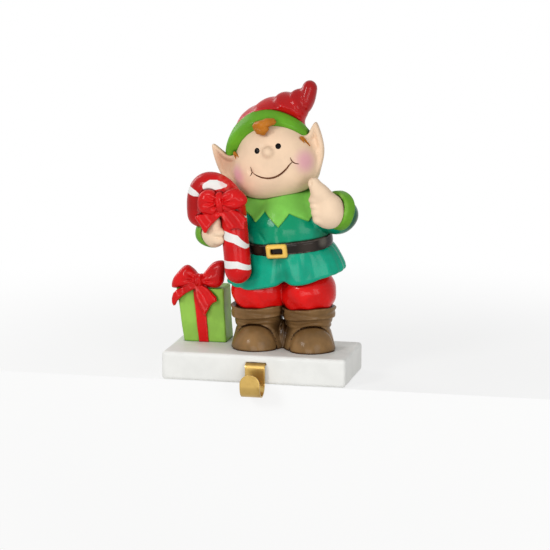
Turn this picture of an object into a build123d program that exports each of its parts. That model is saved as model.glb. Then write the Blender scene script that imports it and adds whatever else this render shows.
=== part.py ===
from build123d import *
import os
from math import cos, exp, pi, radians, sin, tau

# Base block
base_width = 118
base_depth = 55
base_height = 18
base_corner = 2.5
base_round = 2
base_foot_chamfer = 0.8
seat = 2

# Hook strip and its slot
strip_width = 12.7
strip_thickness = 1.0
strip_offset = 2
slot_level = 13
slot_clearance = 0.15
tang_length = 23
bend_radius = 2
leg_standoff = 2
throat = 13.5
hook_drop = 6
tongue_rise = 15.5
tip_round = 0.98

# Carved facets
facet = 4.65
least_sides = 9
least_levels = 5
cap_latitude = 76

# Figure position on the block
figure_x = 14.5
figure_y = 5

# Boots
boot_sides = (-18.2, 14.6)
boot_width = 31
boot_depth = 29
boot_waist = 0.9
waist_rise = 12
toe_width = 31
toe_length = 17.3
toe_height = 16.8
toe_forward = 5
toe_turn = 22
web_side = -1.8
web_size = (9, 20, 36)
cuff_level = 19.5
cuff_height = 7.5
cuff_lip = 1.6

# Trousers
leg_widths = (37.6, 35.6)
leg_depth = 35.6
leg_height = 33
leg_level = 36
leg_sides = (-16.8, 14)

# Tunic skirt
hem_width = 78
hem_depth = 45
hem_level = 46
hem_tilt = 8
hem_pitch = 9
pleat_count = 15
pleat_depth = 0.45
cleft_depth = 3.6
cleft_angle = 8
skirt_points = 60
skirt_sections = 4
skirt_bulge = 0.62
hem_turn = 0.9
hem_tuck = 0.7

# Waist, belt and buckle
waist_width = 56
waist_depth = 41
waist_level = 68.6
belt_tilt = 5
belt_pitch = 8
belt_height = 7.8
belt_raise = 1.3
buckle_side = -1.5
buckle_width = 13.5
buckle_height = 9
buckle_rim = 2.5
buckle_raise = 1.8
buckle_sink = 1.2

# Chest, shoulders and neck
chest_width = 55
chest_depth = 41
chest_level = 79
shoulder_width = 45
shoulder_depth = 33
shoulder_level = 90
yoke_width = 38.6
yoke_depth = 31
yoke_level = 95.5
neck_width = 24
neck_depth = 22
neck_level = 100

# Pointed collar
collar_points = 8
collar_raise = 1.4
collar_arm = 25.6
collar_width = 65
collar_depth = 42
collar_tip = 1.0
collar_valley = 0.66

# Head
head_x = 8
head_y = 3
head_level = 122
head_roll = 14
skull_width = 49
skull_depth = 43
skull_height = 52
jowl_width = 53
jowl_depth = 42
jowl_height = 38
jowl_drop = 6
head_blend = 12
head_sections = 12
nose_size = 6.4
nose_side = 1.2
nose_rise = 5.4
nose_reach = 21.6

# Ears: outlines on the head, across and upwards
ear_thickness = 5.2
ear_root = 24
ear_backs = (-5.5, -3.5)
ear_easing = (0.25, 0.75)
ear_sweep = 12.4
ear_hollow = 2.0
ear_rim = 2.6
left_ear = (
    (-19, 7), (-28.2, 6.8), (-31.6, 11), (-37.6, 18), (-38.3, 10.6), (-38, 5),
    (-37.2, -1), (-35.4, -6.2), (-32, -11), (-28, -13), (-19, -12),
)
right_ear = (
    (18, 8.5), (24, 8.6), (26.8, 12.2), (31, 17), (32, 10), (32.2, 3),
    (31.6, -3.4), (29.2, -9.6), (25.6, -14.6), (22, -17.2), (18, -15),
)

# Hat band, hood and bent cone
hat_shift = -2.5
band_size = 59
band_lead = 1.5
band_thickness = 9
band_edge = 1.8
band_pitch = 62
hood_width = 54
hood_depth = 50.5
hood_height = 68
hood_back = 3
hat_root = (0, 16)
hat_bend = (10, 27)
hat_sway = (23, 26)
hat_tip = (29.6, 36.4)
hat_root_size = 40
hat_flatten = 1
hat_back = 4
hat_tip_size = 9.8
hat_taper = 1.2
hat_sections = 8
hat_points = 26
fold_count = 5
fold_depth = 0.025
fold_twist = 110

# Curl of hair: a swept lock and the curl below it
lock_start = (-4, -16.8, 22.3)
lock_end = (6.6, -17.2, 23.4)
lock_size = 6.2
curl_spot = (-0.8, -18.4, 19.2)
curl_width = 9
curl_depth = 6
curl_height = 6.8

# Raised arm
raised_side = 33
raised_forward = 6
raised_level = 86.5
shoulder_lift = 3
upper_arm_size = 22
sleeve_size = 28
sleeve_height = 23
cuff_ring = 24
cuff_ring_height = 8
cuff_pitch = 76
cuff_yaw = 36
wrist_side = 2.5
wrist_forward = 7
wrist_lift = 4.5
fist_side = 4
fist_forward = 14
fist_lift = 6
fist_width = 20.5
fist_depth = 18
fist_height = 21
fist_shift = 1.5
fist_drop = 1.5
fist_back = 0.5
thumb_width = 13.5
thumb_end = 7.8
thumb_root = (3.5, -1, 3)
thumb_tip = (-6.2, -4, 16.6)
finger_spots = ((-5.8, -3, 6.2), (-5, -3, 2.4), (-4, -3, -1.8), (-3, -3, -6.2))
finger_size = (8, 9, 5.6)

# Cane and the hand on it
cane_size = 16.6
cane_crook = 19.4
cane_lean = 5
cane_length = 45
cane_tail = 8
cane_x = -11.2
cane_y = -19
cane_level = 52.5
cane_sides = 17
cane_turns = 11
palm_width = 14
palm_depth = 15
palm_height = 17
palm_spot = (-1.5, -4, -1.4)
wrist_spots = ((-2, -3, -1), (-3.5, 4, 0))
wrist_size = 14
pointer_spots = ((-0.5, -6.5, 2), (2, -8.5, 7))
pointer_sizes = (9, 6)
grip_fingers = ((2.8, -9, 0.4), (2.0, -8.5, -4.6))
grip_finger = (9, 7, 6)
low_cuff_ring = 20
low_cuff_spot = (-3.8, 0.5, -0.4)
low_cuff_turn = (86, 22, 0)
grip_side = 12
grip_back = 4
grip_rise = 25
elbow_side = 4
forearm_size = 18
elbow_back = 14
elbow_rise = 4

# Bows: middle, size and turn of each loop, then the outline of each tail
bow_side = 5
bow_lift = 5
bow_inset = 2
tail_depth = 3.4
cane_loops = (((-8, 0.4, 1.6), (14.5, 15, 9.5), -6), ((9.6, 1.8, 1.6), (17, 15.5, 9.5), 16))
cane_tails = (
    ((1, -3), (-5, -5), (-12.5, -6.5), (-16.8, -8.6), (-15.6, -12),
     (-13, -13.6), (-10.2, -20), (-7.4, -17.5), (-4.2, -11.5), (1.5, -7)),
    ((-1, -4), (4, -4.6), (10.6, -5.4), (16.6, -11.6), (15, -13.8), (15.2, -17), (9.6, -15.2), (5.4, -18),
     (2.6, -12), (-1, -7)),
)
cane_knot = (7.2, 13, 9)
cane_tail_front = 1.2
gift_loops = (((-9, 1, 0.5), (17, 13, 10), 24), ((8.2, 2, 0.5), (14.5, 15.5, 10), 40))
gift_tails = (
    ((-3, 0), (-8, -3.5), (-16.5, -7), (-18.6, -14), (-16.4, -18), (-13.5, -12.5), (-7, -7.5), (1, -4)),
    ((-2, -2), (3.5, -3), (8, -9), (14, -16.5), (9.5, -18.5), (6.5, -25), (3, -19), (-1.5, -9)),
)
gift_knot = (10, 8.5, 9)
gift_tail_front = 3.6

# Gift box
gift_width = 27.5
gift_depth = 20
gift_height = 35
gift_flare = 1.13
gift_lean = 3.6
gift_x = -39
gift_y = 16
ribbon_width = 6.5
ribbon_raise = 1.0


def spot(x, y, level, turn=(0, 0, 0)):
    """A plane at a height above the block's top, turned about its own axes."""
    return Plane((x, y, base_height + level)).rotated(turn)


def within(plane, x, y, z=0, turn=(0, 0, 0)):
    """A plane placed and turned inside another plane."""
    return Plane(plane.location * Location((x, y, z), turn))


def ring(plane, width, depth, sides, folds=0, relief=0, phase=0, cleft=0):
    """Points around an oval whose edge swells in even folds, with a cleft at the front."""
    points = []
    for step in range(sides):
        angle = tau * step / sides
        front = (angle - 0.75 * tau) / radians(cleft_angle)
        swell = relief * cos(folds * angle - radians(phase)) - cleft * exp(-front * front)
        spread = (width / 2 + swell) * cos(angle)
        points.append(plane.from_local_coords((spread, (depth / 2 + swell) * sin(angle), 0)))
    return points


def flat(*corners):
    """A flat facet between corner points."""
    return Face(Wire.make_polygon(corners, close=True))


def carved(rings):
    """A solid loft of flat facets through rings of equally many points."""
    facets = [flat(*rings[0]), flat(*rings[-1])]
    for low, high in zip(rings, rings[1:]):
        for here in range(len(low)):
            after = (here + 1) % len(low)
            across = (low[after] - low[here]).cross(high[here] - low[here])
            level = abs(across.normalized().dot(high[after] - low[here]))
            if level < 1e-7:
                facets.append(flat(low[here], low[after], high[after], high[here]))
            else:
                facets.append(flat(low[here], low[after], high[after]))
                facets.append(flat(low[here], high[after], high[here]))
    return Solid(Shell(facets))


def pebble(plane, width, depth, height):
    """A faceted ellipsoid of full sizes along a plane's three directions."""
    sides = max(least_sides, round(pi * (width + depth) / 2 / facet))
    levels = max(least_levels, round(pi * height / 2 / facet))
    rings = []
    for level in range(levels + 1):
        latitude = radians(cap_latitude * (2 * level / levels - 1))
        shrink = cos(latitude)
        lift = plane.offset(height / 2 * sin(latitude))
        rings.append(ring(lift, width * shrink, depth * shrink, sides))
    return carved(rings)


def limb(start, end, size, end_size=None):
    """A faceted round-ended rod between two points, which may taper."""
    axis = Vector(*end) - Vector(*start)
    sides = max(least_sides, round(pi * size / facet))
    rings = []
    for close, direction in ((True, -1), (False, 1)):
        end_plane = Plane(start if close else end, z_dir=axis)
        across = size if close else end_size or size
        cap = []
        for latitude in (0, cap_latitude / 2, cap_latitude):
            lift = end_plane.offset(direction * across / 2 * sin(radians(latitude)))
            width = across * cos(radians(latitude))
            cap.append(ring(lift, width, width, sides))
        rings.extend(reversed(cap) if close else cap)
    return carved(rings)


def bow_form(plane, loops, tails, knot, front):
    """Two loops, a knot and two pointed tails of a ribbon bow."""
    with BuildPart() as bow:
        for middle, size, turn in loops:
            add(pebble(within(plane, *middle, (0, 0, turn)), *size))
        for corners in tails:
            with BuildSketch(plane.offset(front - tail_depth / 2)):
                Polygon(*corners, align=None)
            extrude(amount=tail_depth)
        add(pebble(within(plane, 0, 0.3, 2.4), *knot))
    return bow.part


# White block with the slot for the hook's tang
with BuildPart() as block:
    with BuildSketch():
        RectangleRounded(base_width, base_depth, base_corner)
    extrude(amount=base_height)
    fillet(block.faces().sort_by(Axis.Z)[-1].edges(), base_round)
    chamfer(block.faces().sort_by(Axis.Z)[0].edges(), base_foot_chamfer)
    with BuildSketch(Plane.XZ.offset(base_depth / 2)):
        with Locations((strip_offset, slot_level)):
            Rectangle(strip_width + 2 * slot_clearance, strip_thickness + 2 * slot_clearance)
    extrude(amount=-tang_length - slot_clearance, mode=Mode.SUBTRACT)

# Boots with folded cuffs and domed toes
boots = []
for side, turned in zip(boot_sides, (0, toe_turn)):
    ground = spot(figure_x + side, figure_y, -seat)
    sides = round(pi * boot_width / facet)
    rings = []
    for rise, lip in (
        (0, 0.5),
        (waist_rise, -boot_waist),
        (cuff_level, 0),
        (cuff_level + cuff_height * 0.15, cuff_lip),
        (cuff_level + cuff_height * 0.8, cuff_lip + 0.4),
        (cuff_level + cuff_height, 0),
    ):
        lift = ground.offset(rise + (seat if rise else 0))
        rings.append(ring(lift, boot_width + 2 * lip, boot_depth + 2 * lip, sides))
    toe = within(ground, 0, 0, seat, (0, 0, turned))
    with BuildPart() as boot:
        add(carved(rings))
        add(pebble(within(toe, 0, -toe_forward), toe_width, 2 * toe_length, 2 * toe_height))
        split(bisect_by=ground)
    boots.append(boot.part)
with BuildPart() as web:
    add(pebble(spot(figure_x + web_side, figure_y, 0), *web_size))
    split(bisect_by=ground)
boots.append(web.part)

# Puffed trousers
with BuildPart() as trousers:
    for side, width in zip(leg_sides, leg_widths):
        add(pebble(spot(figure_x + side, figure_y, leg_level), width, leg_depth, leg_height))

# Pleated skirt of the tunic, cleft at the front
hem = spot(figure_x, figure_y, hem_level - hem_tuck, (hem_pitch, -hem_tilt, 0))
turn_width = hem_turn * hem_width
skirt_top = waist_level - belt_height * 0.4
turn_depth = hem_turn * hem_depth
rings = [ring(hem, turn_width, turn_depth, skirt_points, pleat_count, pleat_depth, 0, cleft_depth)]
for section in range(skirt_sections):
    rise = section / (skirt_sections - 1)
    flare = (1 - rise) ** skirt_bulge
    tilt = (hem_pitch + (belt_pitch - hem_pitch) * rise, (hem_tilt - belt_tilt) * rise - hem_tilt, 0)
    level = spot(figure_x, figure_y, hem_level + (skirt_top - hem_level) * rise, tilt)
    width = waist_width + (hem_width - waist_width) * flare
    depth = waist_depth + (hem_depth - waist_depth) * flare
    relief = pleat_depth * flare
    rings.append(ring(level, width, depth, skirt_points, pleat_count, relief, 0, cleft_depth * flare))
with BuildPart() as skirt:
    add(carved(rings))

# Where the arms and the cane lie
raised = spot(figure_x + raised_side, figure_y - raised_forward, raised_level)
shoulder = spot(figure_x + raised_side / 2, figure_y, raised_level + shoulder_lift)
foot = spot(cane_x, cane_y, cane_level, (0, -cane_lean, 0))
grip = within(foot, -grip_side, grip_back, grip_rise)
elbow = within(grip, -elbow_side, elbow_back, elbow_rise)
armpit = spot(figure_x - raised_side / 2, figure_y, raised_level + shoulder_lift)

# Chest, shoulders and neck, with the collar cut to a ring of points
torso = (
    (waist_width, waist_depth, waist_level - belt_height),
    (chest_width, chest_depth, chest_level),
    (shoulder_width, shoulder_depth, shoulder_level),
    (yoke_width, yoke_depth, yoke_level),
    (neck_width, neck_depth, neck_level),
)
sides = round(pi * waist_width / facet)
chest_rings = []
collar_rings = []
for width, depth, level in torso:
    lift = spot(figure_x, figure_y, level)
    chest_rings.append(ring(lift, width, depth, sides))
    collar_rings.append(ring(lift, width + 2 * collar_raise, depth + 2 * collar_raise, sides))
star = []
for step in range(2 * collar_points):
    angle = tau * step / (2 * collar_points) - tau / 4
    reach = collar_valley if step % 2 else collar_tip
    star.append((reach * collar_width / 2 * cos(angle), reach * collar_depth / 2 * sin(angle)))
with BuildPart() as chest:
    add(carved(chest_rings))
with BuildPart() as collar:
    add(carved(collar_rings[1:]))
    add(limb(shoulder.origin, raised.origin, collar_arm))
    add(limb(armpit.origin, elbow.origin, collar_arm))
    with BuildSketch(spot(figure_x, figure_y, chest_level)):
        Polygon(*star, align=None)
    extrude(amount=neck_level + 2 * collar_raise - chest_level, mode=Mode.INTERSECT)

# Belt and its open buckle
belt_plane = spot(figure_x, figure_y, waist_level, (belt_pitch, -belt_tilt, 0))
belt_rings = []
for rise in (-belt_height / 2, belt_height / 2):
    lift = belt_plane.offset(rise)
    belt_rings.append(ring(lift, waist_width + 2 * belt_raise, waist_depth + 2 * belt_raise, sides + 1))
with BuildPart() as belt:
    add(carved(belt_rings))
with BuildPart() as buckle:
    with BuildSketch(within(belt_plane, buckle_side, buckle_sink - waist_depth / 2, 0, (90, 0, 0))):
        Rectangle(buckle_width, buckle_height)
        Rectangle(buckle_width - 2 * buckle_rim, buckle_height - 2 * buckle_rim, mode=Mode.SUBTRACT)
    extrude(amount=buckle_sink + belt_raise + buckle_raise)
    outer = buckle.faces().sort_by(Axis.Y)[0].outer_wire().edges()
    chamfer(outer, buckle_raise / 2)

# Head, leaning to one side: one form that is widest at the cheeks
face = spot(head_x, head_y, head_level, (0, -head_roll, 0))
crown = skull_height / 2 * sin(radians(cap_latitude))
chin = -jowl_drop - jowl_height / 2 * sin(radians(cap_latitude))
sides = round(pi * jowl_width / facet)
rings = []
for section in range(head_sections + 1):
    level = chin + (crown - chin) * (1 - cos(pi * section / head_sections)) / 2
    skull = max(0, 1 - (2 * level / skull_height) ** 2) ** 0.5
    jowl = max(0, 1 - (2 * (level + jowl_drop) / jowl_height) ** 2) ** 0.5
    width = ((skull * skull_width) ** head_blend + (jowl * jowl_width) ** head_blend) ** (1 / head_blend)
    depth = ((skull * skull_depth) ** head_blend + (jowl * jowl_depth) ** head_blend) ** (1 / head_blend)
    rings.append(ring(face.offset(level), width, depth, sides))
with BuildPart() as head:
    add(carved(rings))
    add(pebble(within(face, nose_side, -nose_reach, nose_rise), nose_size, nose_size, nose_size))
    add(limb(face.origin, spot(figure_x, figure_y, neck_level).origin, neck_depth))

# Hat: a hood behind the band, then a twisted, folded cone bent to one side
brim = within(face, hat_shift, 0, 0, (-band_pitch, 0, 0)).offset(-band_lead)
band_rings = []
for rise, inset in (
    (0, band_edge),
    (band_edge, 0),
    (band_thickness - band_edge, 0),
    (band_thickness, band_edge),
):
    band_rings.append(ring(brim.offset(rise), band_size - 2 * inset, band_size - 2 * inset, sides))
with BuildPart() as band:
    add(carved(band_rings))
with BuildPart() as hood:
    add(pebble(within(face, hat_shift, hood_back), hood_width, hood_depth, hood_height))
    split(bisect_by=brim.offset(band_thickness / 2))
bends = (hat_root, hat_bend, hat_sway, hat_tip)
with BuildLine() as spine:
    Bezier(*[within(face, side, hat_back, rise).origin for side, rise in bends])
rings = []
for section in range(hat_sections):
    along = section / (hat_sections - 1)
    size = hat_tip_size + (hat_root_size - hat_tip_size) * (1 - along) ** hat_taper
    lift = Plane(spine.line @ along, x_dir=(0, 1, 0), z_dir=spine.line % along)
    width = size * (hat_flatten + (1 - hat_flatten) * along)
    rings.append(ring(lift, width, size, hat_points, fold_count, fold_depth * size, fold_twist * along))
with BuildPart() as hat:
    add(carved(rings))
    add(pebble(Plane(spine.line @ 1), hat_tip_size, hat_tip_size, hat_tip_size))

# Pointed ears, hollow at the front
ears = []
for side, back, leaf in zip((-1, 1), ear_backs, (left_ear, right_ear)):
    lobe = within(face, side * ear_root, back, 0, (90, side * ear_sweep, 0))
    corners = [(x - side * ear_root, y) for x, y in leaf]
    after = corners[1:] + corners[:1]
    eased = []
    for (x, y), (next_x, next_y) in zip(corners, after):
        for share in ear_easing:
            eased.append((x + (next_x - x) * share, y + (next_y - y) * share))
    with BuildPart() as ear:
        with BuildSketch(lobe.offset(-ear_thickness / 2)):
            Polygon(*eased, align=None)
        extrude(amount=ear_thickness)
        with BuildSketch(lobe.offset(ear_thickness / 2)):
            Polygon(*eased, align=None)
            offset(amount=-ear_rim)
        extrude(amount=-ear_hollow, mode=Mode.SUBTRACT)
    ears.append(ear.part)

# Curl of hair under the band
with BuildPart() as curl:
    add(limb(within(face, *lock_start).origin, within(face, *lock_end).origin, lock_size))
    add(pebble(within(face, *curl_spot), curl_width, curl_depth, curl_height))

# Raised arm: sleeve, cuff, fist, fingers and thumb
wrist = within(raised, wrist_side, -wrist_forward, wrist_lift, (cuff_pitch, -cuff_yaw, 0))
sides = round(pi * cuff_ring / facet)
palm = within(raised, -fist_side, -fist_forward, fist_lift)
with BuildPart() as raised_arm:
    add(pebble(raised, sleeve_size, sleeve_size, sleeve_height))
    add(limb(shoulder.origin, raised.origin, upper_arm_size))
    rises = (-cuff_ring_height / 2, cuff_ring_height / 2)
    add(carved([ring(wrist.offset(rise), cuff_ring, cuff_ring, sides) for rise in rises]))
with BuildPart() as raised_fist:
    add(pebble(within(palm, fist_shift, fist_back, -fist_drop), fist_width, fist_depth, fist_height))
    for finger in finger_spots:
        add(pebble(within(palm, *finger), *finger_size))
    add(limb(within(palm, *thumb_root).origin, within(palm, *thumb_tip).origin, thumb_width, thumb_end))

# Candy cane
side_view = Plane(foot.origin, x_dir=foot.x_dir, z_dir=(0, -1, 0))
with BuildLine(side_view) as rod:
    shaft = Line((0, 0), (0, cane_length))
    crook = JernArc(shaft @ 1, shaft % 1, cane_crook / 2, 180)
    end = Line(crook @ 1, crook @ 1 + (crook % 1) * cane_tail)
rings = []
for latitude in (cap_latitude, cap_latitude / 2, 0):
    lift = foot.offset(-cane_size / 2 * sin(radians(latitude)))
    width = cane_size * cos(radians(latitude))
    rings.append(ring(lift, width, width, cane_sides))
for turn in range(cane_turns + 1):
    along = turn / cane_turns
    outward = foot.x_dir.rotate(Axis((0, 0, 0), (0, -1, 0)), 180 * along)
    lift = Plane(crook @ along, x_dir=outward, z_dir=crook % along)
    rings.append(ring(lift, cane_size, cane_size, cane_sides))
for latitude in (0, cap_latitude / 2, cap_latitude):
    lift = Plane(end @ 1, x_dir=-foot.x_dir, z_dir=end % 1).offset(cane_size / 2 * sin(radians(latitude)))
    width = cane_size * cos(radians(latitude))
    rings.append(ring(lift, width, width, cane_sides))
with BuildPart() as cane:
    add(carved(rings))

# Lowered arm and the hand on the cane
with BuildPart() as lowered_arm:
    add(limb(armpit.origin, elbow.origin, upper_arm_size))
    add(limb(elbow.origin, within(grip, -elbow_side, 0).origin, forearm_size))
with BuildPart() as lowered_hand:
    add(pebble(within(grip, *palm_spot), palm_width, palm_depth, palm_height))
    add(limb(*[within(grip, *wrist).origin for wrist in wrist_spots], wrist_size))
    add(limb(*[within(grip, *stop).origin for stop in pointer_spots], *pointer_sizes))
    for finger in grip_fingers:
        add(pebble(within(grip, *finger), *grip_finger))
cuff = within(grip, *low_cuff_spot, low_cuff_turn)
sides = round(pi * low_cuff_ring / facet)
with BuildPart() as lowered_cuff:
    rises = (-cuff_ring_height / 2, cuff_ring_height / 2)
    add(carved([ring(cuff.offset(rise), low_cuff_ring, low_cuff_ring, sides) for rise in rises]))

# Gift box with crossed ribbons
box_floor = spot(gift_x, gift_y, -seat)
box_lid = spot(gift_x - gift_lean, gift_y, gift_height)
wrapped = []
for width, depth, rise in (
    (gift_width, gift_depth, 0),
    (ribbon_width, gift_depth + 2 * ribbon_raise, ribbon_raise),
    (gift_width + 2 * ribbon_raise, ribbon_width, ribbon_raise),
):
    corners = []
    for level, spread in ((box_floor, 1), (box_lid.offset(rise), gift_flare)):
        half = spread * width / 2
        corners.append([
            level.from_local_coords((half * across, depth / 2 * back, 0))
            for across, back in ((-1, -1), (1, -1), (1, 1), (-1, 1))
        ])
    with BuildPart() as layer:
        add(carved(corners))
    wrapped.append(layer.part)

# Ribbon bows on the cane and on the gift
on_cane = within(foot, -bow_side, -cane_size / 2, cane_length, (90, 0, 0))
on_gift = within(box_lid, 0, bow_inset - gift_depth / 2, bow_lift, (90, 0, 0))
cane_bow = bow_form(on_cane, cane_loops, cane_tails, cane_knot, cane_tail_front)
gift_bow = bow_form(on_gift, gift_loops, gift_tails, gift_knot, gift_tail_front)

# The whole casting
with BuildPart() as casting:
    add(block.part)
    add(boots)
    add([trousers.part, skirt.part, chest.part, belt.part, buckle.part, collar.part])
    add([head.part, hood.part, hat.part, band.part, curl.part])
    add(ears)
    add([raised_arm.part, raised_fist.part])
    add([lowered_arm.part, lowered_cuff.part, cane.part, lowered_hand.part, cane_bow])
    add(wrapped)
    add(gift_bow)

# Hook: tang, bend, leg, rounded turn and upright tongue
leg_line = -base_depth / 2 - leg_standoff - strip_thickness / 2
bend_line = bend_radius + strip_thickness / 2
turn_line = (throat + strip_thickness) / 2
with BuildPart() as hook:
    with BuildSketch(Plane.YZ.offset(strip_offset)):
        with BuildLine():
            tang = Line((tang_length - base_depth / 2, slot_level), (leg_line + bend_line, slot_level))
            bend = JernArc(tang @ 1, tang % 1, bend_line, 90)
            leg = Line(bend @ 1, (leg_line, turn_line + strip_thickness / 2 - hook_drop))
            turn = JernArc(leg @ 1, leg % 1, turn_line, -180)
            Line(turn @ 1, (leg_line - 2 * turn_line, tongue_rise - hook_drop))
        trace(line_width=strip_thickness)
    extrude(amount=strip_width / 2, both=True)
    tip_edges = hook.faces().filter_by(Axis.Z).sort_by(Axis.Y)[0].edges().filter_by(Axis.Y)
    fillet(tip_edges, strip_width * tip_round / 2)

os.makedirs("parts", exist_ok=True)
casting.part.label = "figure_casting"
export_step(casting.part, "parts/figure_casting.step")
hook.part.label = "hook"
export_step(hook.part, "parts/hook.step")
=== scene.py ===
"""Looks of the mantel stocking holder: a painted resin elf on a white block, with a brass hook.

The casting is sculpted as signed distances in millimetres, one closed mesh for each painted area.
"""
import logging
import math
from dataclasses import dataclass, field
from enum import Enum
from typing import Callable, Iterable, Optional, Sequence, Union

import bpy
import numpy as np
from mathutils import Matrix, Vector


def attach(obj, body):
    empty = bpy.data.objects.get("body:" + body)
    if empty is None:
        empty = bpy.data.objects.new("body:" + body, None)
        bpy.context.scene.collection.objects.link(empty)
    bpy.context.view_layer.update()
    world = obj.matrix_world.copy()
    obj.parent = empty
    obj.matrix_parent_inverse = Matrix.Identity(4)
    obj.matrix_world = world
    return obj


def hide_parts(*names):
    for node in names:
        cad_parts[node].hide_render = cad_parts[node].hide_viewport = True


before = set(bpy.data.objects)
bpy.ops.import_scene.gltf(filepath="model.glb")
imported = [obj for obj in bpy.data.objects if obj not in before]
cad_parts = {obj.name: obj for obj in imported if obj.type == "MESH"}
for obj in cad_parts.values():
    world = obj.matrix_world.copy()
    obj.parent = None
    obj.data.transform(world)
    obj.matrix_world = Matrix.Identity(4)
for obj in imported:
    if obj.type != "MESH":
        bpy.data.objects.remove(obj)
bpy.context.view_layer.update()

MM = 0.001
Points = np.ndarray
Colour = tuple[float, float, float]
Size = tuple[float, float, float]
Spot = tuple[float, float, float]
Pair = tuple[float, float]
Outline = tuple[Pair, ...]
Reach = tuple[Spot, Spot]
Form = Callable[[Points], Points]
log = logging.getLogger("stocking_holder")


class Side(Enum):
    """The two sides of the figure as the viewer sees it."""

    LEFT = -1
    RIGHT = 1

    @property
    def number(self) -> int:
        """Gives the side's place in a pair of left and right."""
        return 0 if self is Side.LEFT else 1


# ---------------------------------------------------------------- places and forms


def turning(turn: Spot) -> np.ndarray:
    """Makes a rotation matrix.

    Args:
        turn: Angles in degrees about the own x, y and z axes, in that order.

    Returns:
        A 3 by 3 matrix whose columns are the turned axes.
    """
    (cx, cy, cz), (sx, sy, sz) = np.cos(np.radians(turn)), np.sin(np.radians(turn))
    about_x = np.array([[1, 0, 0], [0, cx, -sx], [0, sx, cx]])
    about_y = np.array([[cy, 0, sy], [0, 1, 0], [-sy, 0, cy]])
    about_z = np.array([[cz, -sz, 0], [sz, cz, 0], [0, 0, 1]])
    return about_x @ about_y @ about_z


class Place:
    """A local frame: an origin and three axes."""

    def __init__(self, origin: Spot, axes: Optional[np.ndarray] = None) -> None:
        """Keeps the origin and the axes, which stand upright where none are given."""
        self.origin = np.asarray(origin, float)
        self.axes = np.eye(3) if axes is None else axes

    def within(self, x: float, y: float, z: float, turn: Spot = (0, 0, 0)) -> "Place":
        """Gives a frame placed and turned inside this one."""
        return Place(self.spot(x, y, z), self.axes @ turning(turn))

    def spot(self, x: float, y: float, z: float) -> np.ndarray:
        """Gives the model's coordinates of a local point."""
        return self.origin + self.axes @ np.array([x, y, z], float)

    def local(self, points: Points) -> Points:
        """Gives the local coordinates of the model's points."""
        return (points - self.origin) @ self.axes

    def around(self, below: Spot, above: Spot) -> Reach:
        """Gives two corners of a box that runs so far below and above the origin."""
        return tuple(self.origin - below), tuple(self.origin + above)


BLOCK_TOP = 18.0
FIGURE = Place((14.5, 5, BLOCK_TOP))
BELT = FIGURE.within(0, 0, 68.6, (8, -5, 0))
BUCKLE = BELT.within(-1.6, -22.2, -0.3, (90, 0, 0))
FACE = Place((8, 3, BLOCK_TOP + 122), turning((0, -14, 0)))
HOOD_SHIFT = (-2.5, 3, 0)
BRIM = FACE.within(-2.5, 0, 0, (-62, 0, 0)).within(0, 0, -1.5)
RAISED = FIGURE.within(33, -6, 86.5)
PALM = RAISED.within(-4, -14, 6)
CANE = Place((-11.2, -19, BLOCK_TOP + 52.5), turning((0, -5, 0)))
GRIP = CANE.within(-12, 4, 25)
CANE_BOW = CANE.within(-5, -8.3, 45, (90, 0, 0))
GIFT = Place((-39, 16, BLOCK_TOP - 2))
GIFT_BOW = GIFT.within(-3.6, -8, 42, (90, 0, 0))


def ovoid(q: Points, size: Size) -> Points:
    """Gives the distance to an ellipsoid of full sizes at the local origin.

    Args:
        q: Points in local coordinates.
        size: Full sizes along the three axes.

    Returns:
        The signed distances, negative inside.
    """
    half = np.asarray(size) / 2
    near = np.linalg.norm(q / half, axis=1)
    steep = np.linalg.norm(q / half**2, axis=1) + 1e-9
    return near * (near - 1) / steep


def rod(
    p: Points, start: Sequence[float], end: Sequence[float], size: float, end_size: Optional[float] = None
) -> Points:
    """Gives the distance to a round-ended rod that may taper from one end to the other.

    Args:
        p: Points in millimetres.
        start: The middle of one end.
        end: The middle of the other end.
        size: Width at the start.
        end_size: Width at the end, where it differs.

    Returns:
        The signed distances, negative inside.
    """
    start, axis = np.asarray(start, float), np.subtract(end, start)
    along = np.clip((p - start) @ axis / (axis @ axis), 0, 1)
    spread = np.linalg.norm(p - start - along[:, None] * axis, axis=1)
    return spread - (size + ((end_size or size) - size) * along) / 2


def lock(p: Points, stops: Sequence[Spot], size: float, end_size: float, blend: float = 1.0) -> Points:
    """Gives the distance to a tapering rod through several points.

    Args:
        p: Points in millimetres.
        stops: Points that the rod runs through.
        size: Width at the first.
        end_size: Width at the last.
        blend: Width of the fillet between two stretches.

    Returns:
        The signed distances, negative inside.
    """
    sizes = np.linspace(size, end_size, len(stops))
    found = rod(p, stops[0], stops[1], sizes[0], sizes[1])
    for here in range(1, len(stops) - 1):
        found = join(found, rod(p, stops[here], stops[here + 1], sizes[here], sizes[here + 1]), blend)
    return found


def slab(q: Points, half: Size, rounding: float) -> Points:
    """Gives the distance to a rounded box of half sizes."""
    over = np.abs(q) - (np.asarray(half) - rounding)
    return np.linalg.norm(np.maximum(over, 0), axis=1) + np.minimum(over.max(axis=1), 0) - rounding


def join(a: Points, b: Points, blend: float) -> Points:
    """Unites two forms with a soft fillet of a given width."""
    near = np.maximum(blend - np.abs(a - b), 0) / blend
    return np.minimum(a, b) - near * near * blend / 4


def meet(a: Points, b: Points, blend: float) -> Points:
    """Keeps what two forms share, with a softened edge."""
    return -join(-a, -b, blend)


def oval(x: Points, y: Points, width: Points, depth: Points) -> Points:
    """Gives the distance, measured from the middle, to an oval section."""
    reach = np.hypot(x, y) + 1e-9
    return reach * (1 - 1 / (np.hypot(2 * x / width, 2 * y / depth) + 1e-9))


def bell(value: Points, width: float) -> Points:
    """Gives a soft bump of height 1 at zero."""
    return np.exp(-((value / width) ** 2))


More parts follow.
